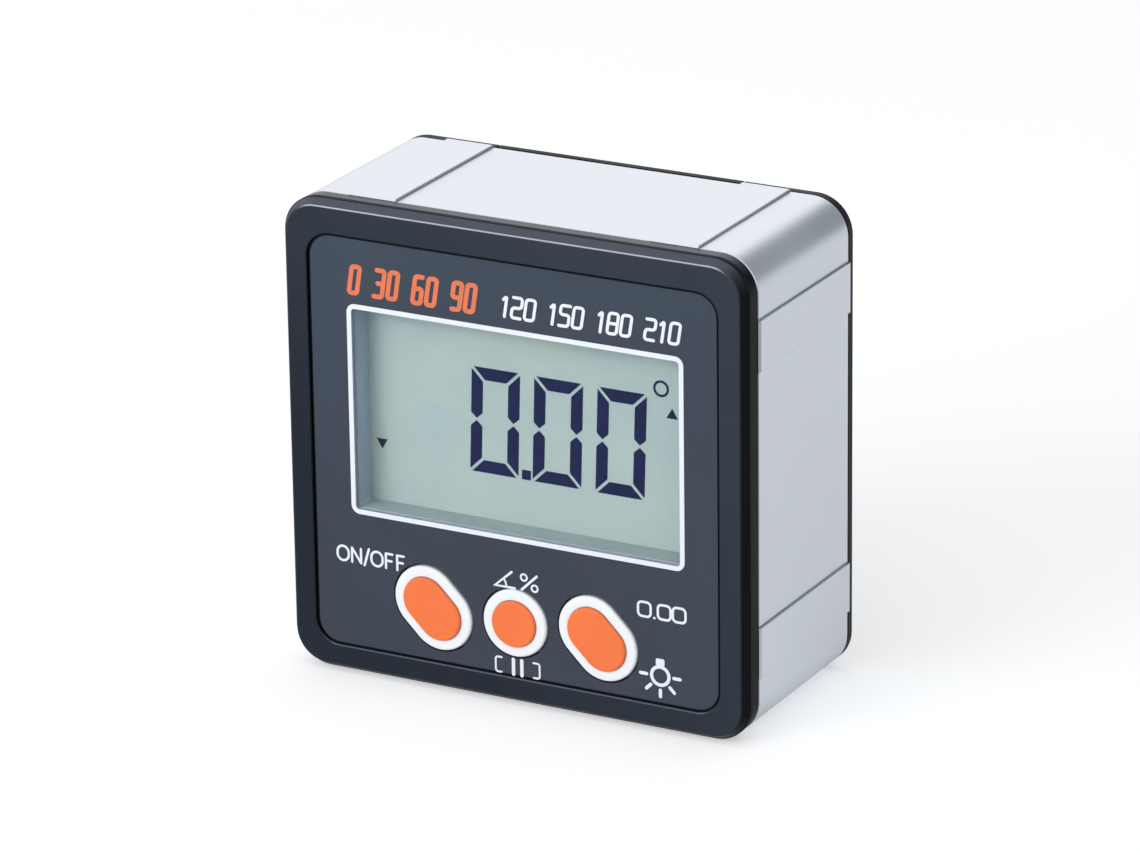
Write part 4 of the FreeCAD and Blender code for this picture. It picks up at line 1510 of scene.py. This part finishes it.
@dataclass(frozen=True)
class Studio:
    """Camera, lamps, floor and sky around the part."""

    focal_pixels: float = 6275.326
    image_width: float = 1140.0
    sensor: float = 36.0
    azimuth: float = 28.366
    elevation: float = 19.931
    roll: float = -0.778
    shift_right: float = -0.099
    shift_up: float = -0.567
    distance: float = 731.311
    nearest_seen: float = 0.01
    aim: Triple = (0.0, 0.2, 29.3)
    lamps: tuple[Lamp, ...] = (Lamp("key light", (-0.3, -0.64, 0.26), 0.5, 2.9),
                               Lamp("fill light", (0.5, -0.6, 0.22), 0.6, 1.0))
    sky: float = 0.62
    sky_colour: Colour = (0.97, 0.985, 1.0, 1.0)
    sky_shown: Colour = (1.0, 1.0, 1.0, 1.0)
    floor_size: float = 6.0
    floor_colour: Colour = (0.86, 0.87, 0.88, 1.0)
    floor_glow: float = 0.38
    mirrored_glow: float = 0.08
    dim_way: Triple = (0.42, 0.83, 0.37)
    dim_from: float = 0.8
    dim_to: float = 0.965
    dim_least: float = 0.28
    front_share: float = 0.3
    front_from: float = 0.0
    front_to: float = -0.04
    dim_tint: Colour = (0.86, 0.97, 1.0, 1.0)

    def camera(self) -> None:
        """A long lens at the view's angle."""
        azimuth, elevation, roll = (math.radians(a) for a in (self.azimuth, self.elevation, self.roll))
        back = Vector((math.sin(azimuth) * math.cos(elevation), -math.cos(azimuth) * math.cos(elevation),
                       math.sin(elevation)))
        level = Vector((math.cos(azimuth), math.sin(azimuth), 0.0))
        upright = back.cross(level)
        right = math.cos(roll) * level + math.sin(roll) * upright
        up = -math.sin(roll) * level + math.cos(roll) * upright
        place = Vector(self.aim) - self.shift_right * right - self.shift_up * up + self.distance * back
        data = bpy.data.cameras.new("camera")
        data.sensor_width = self.sensor
        data.lens = self.focal_pixels / self.image_width * self.sensor
        data.clip_start = self.nearest_seen
        camera = bpy.data.objects.new("camera", data)
        turned = Matrix((right, up, back)).transposed().to_4x4()
        camera.matrix_world = Matrix.Translation(place * MM) @ turned
        bpy.context.scene.collection.objects.link(camera)
        bpy.context.scene.camera = camera

    def floor(self) -> None:
        """A wide pale floor that looks white and keeps the part's shadow."""
        half = self.floor_size / 2
        mesh = bpy.data.meshes.new("floor")
        mesh.from_pydata([(-half, -half, 0), (half, -half, 0), (half, half, 0), (-half, half, 0)], [],
                         [(0, 1, 2, 3)])
        material = bpy.data.materials.new("pale floor")
        material.use_nodes = True
        material.node_tree.nodes.clear()
        bench = Bench(material.node_tree)
        path = bench.node("LightPath").outputs
        depth = bench.node("SeparateXYZ", {"Vector": bench.place()}).outputs["Y"]
        front = bench.spread(depth, self.front_from, self.front_to, 1.0, self.front_share)
        dimmed = bench.node("Mix", {0: path["Is Glossy Ray"], 2: 1.0, 3: front}, data_type="FLOAT").outputs[0]
        tone = bench.node("HueSaturation", {"Color": self.floor_colour, "Value": dimmed}).outputs[0]
        paint = bench.node("BsdfDiffuse", {"Color": tone})
        straight = bench.maths("MAXIMUM", path["Is Camera Ray"], path["Is Transmission Ray"])
        plain = bench.maths("MULTIPLY", straight, self.floor_glow)
        mirrored = bench.maths("MULTIPLY", path["Is Glossy Ray"], self.mirrored_glow)
        glow = bench.node("Emission", {"Strength": bench.maths("MAXIMUM", plain, mirrored)})
        both = bench.node("AddShader", {0: paint.outputs[0], 1: glow.outputs[0]})
        bench.node("OutputMaterial", {"Surface": both.outputs[0]})
        mesh.materials.append(material)
        floor = bpy.data.objects.new("floor", mesh)
        bpy.context.scene.collection.objects.link(floor)

    @staticmethod
    def patch(bench: Bench, way: bpy.types.NodeSocket, centre: Triple, rim: float,
              core: float) -> bpy.types.NodeSocket:
        """A soft round patch of the sky.

        Args:
            bench: The world's bench.
            way: The direction of the ray.
            centre: The direction of the patch's middle.
            rim: The cosine at which the patch begins.
            core: The cosine at which it is full.

        Returns:
            The patch's share, 0 to 1.
        """
        aim = Vector(centre).normalized()
        near = bench.node("VectorMath", {0: way, 1: aim}, operation="DOT_PRODUCT").outputs["Value"]
        return bench.node("MapRange", {"Value": near, "From Min": rim, "From Max": core},
                          interpolation_type="SMOOTHSTEP").outputs[0]

    def surroundings(self) -> None:
        """Even sky light, which shows as white with one dim stretch that metal picks up."""
        world = bpy.data.worlds.new("studio")
        world.use_nodes = True
        world.node_tree.nodes.clear()
        bench = Bench(world.node_tree)
        way = bench.node("TexCoord").outputs["Generated"]
        dim = self.patch(bench, way, self.dim_way, self.dim_from, self.dim_to)
        level = bench.spread(dim, 0.0, 1.0, 1.0, self.dim_least)
        path = bench.node("LightPath").outputs
        glossy = path["Is Glossy Ray"]
        strength = bench.node("Mix", {0: glossy, 2: 1.0, 3: level}, data_type="FLOAT").outputs[0]
        tint = bench.blend(bench.maths("MULTIPLY", dim, glossy), self.sky_shown, self.dim_tint)
        shown = bench.node("Background", {"Color": tint, "Strength": strength})
        light = bench.node("Background", {"Color": self.sky_colour, "Strength": self.sky})
        mirrored = bench.maths("MAXIMUM", glossy, path["Is Transmission Ray"])
        looking = bench.maths("MAXIMUM", path["Is Camera Ray"], mirrored)
        mix = bench.node("MixShader", {0: looking, 1: light.outputs[0], 2: shown.outputs[0]})
        bench.node("OutputWorld", {"Surface": mix.outputs[0]})
        bpy.context.scene.world = world

    def build(self) -> None:
        """Set up the whole studio."""
        self.camera()
        for lamp in self.lamps:
            lamp.hang(Vector(self.aim) * MM)
        self.floor()
        self.surroundings()
        bpy.context.scene.view_settings.view_transform = "Standard"
        LOG.info("studio: camera, %d lamps, floor and sky", len(self.lamps))


def main() -> None:
    """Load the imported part, dress it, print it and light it."""
    logging.basicConfig(level=logging.INFO, format="%(message)s")
    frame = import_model()
    for part in (Housing(), BatteryBay(), Electronics(), Keys(), Display(), FrontPanel()):
        part.dress(frame["nodes"])
        part.build()
    Studio().build()


if __name__ == "__main__":
    main()
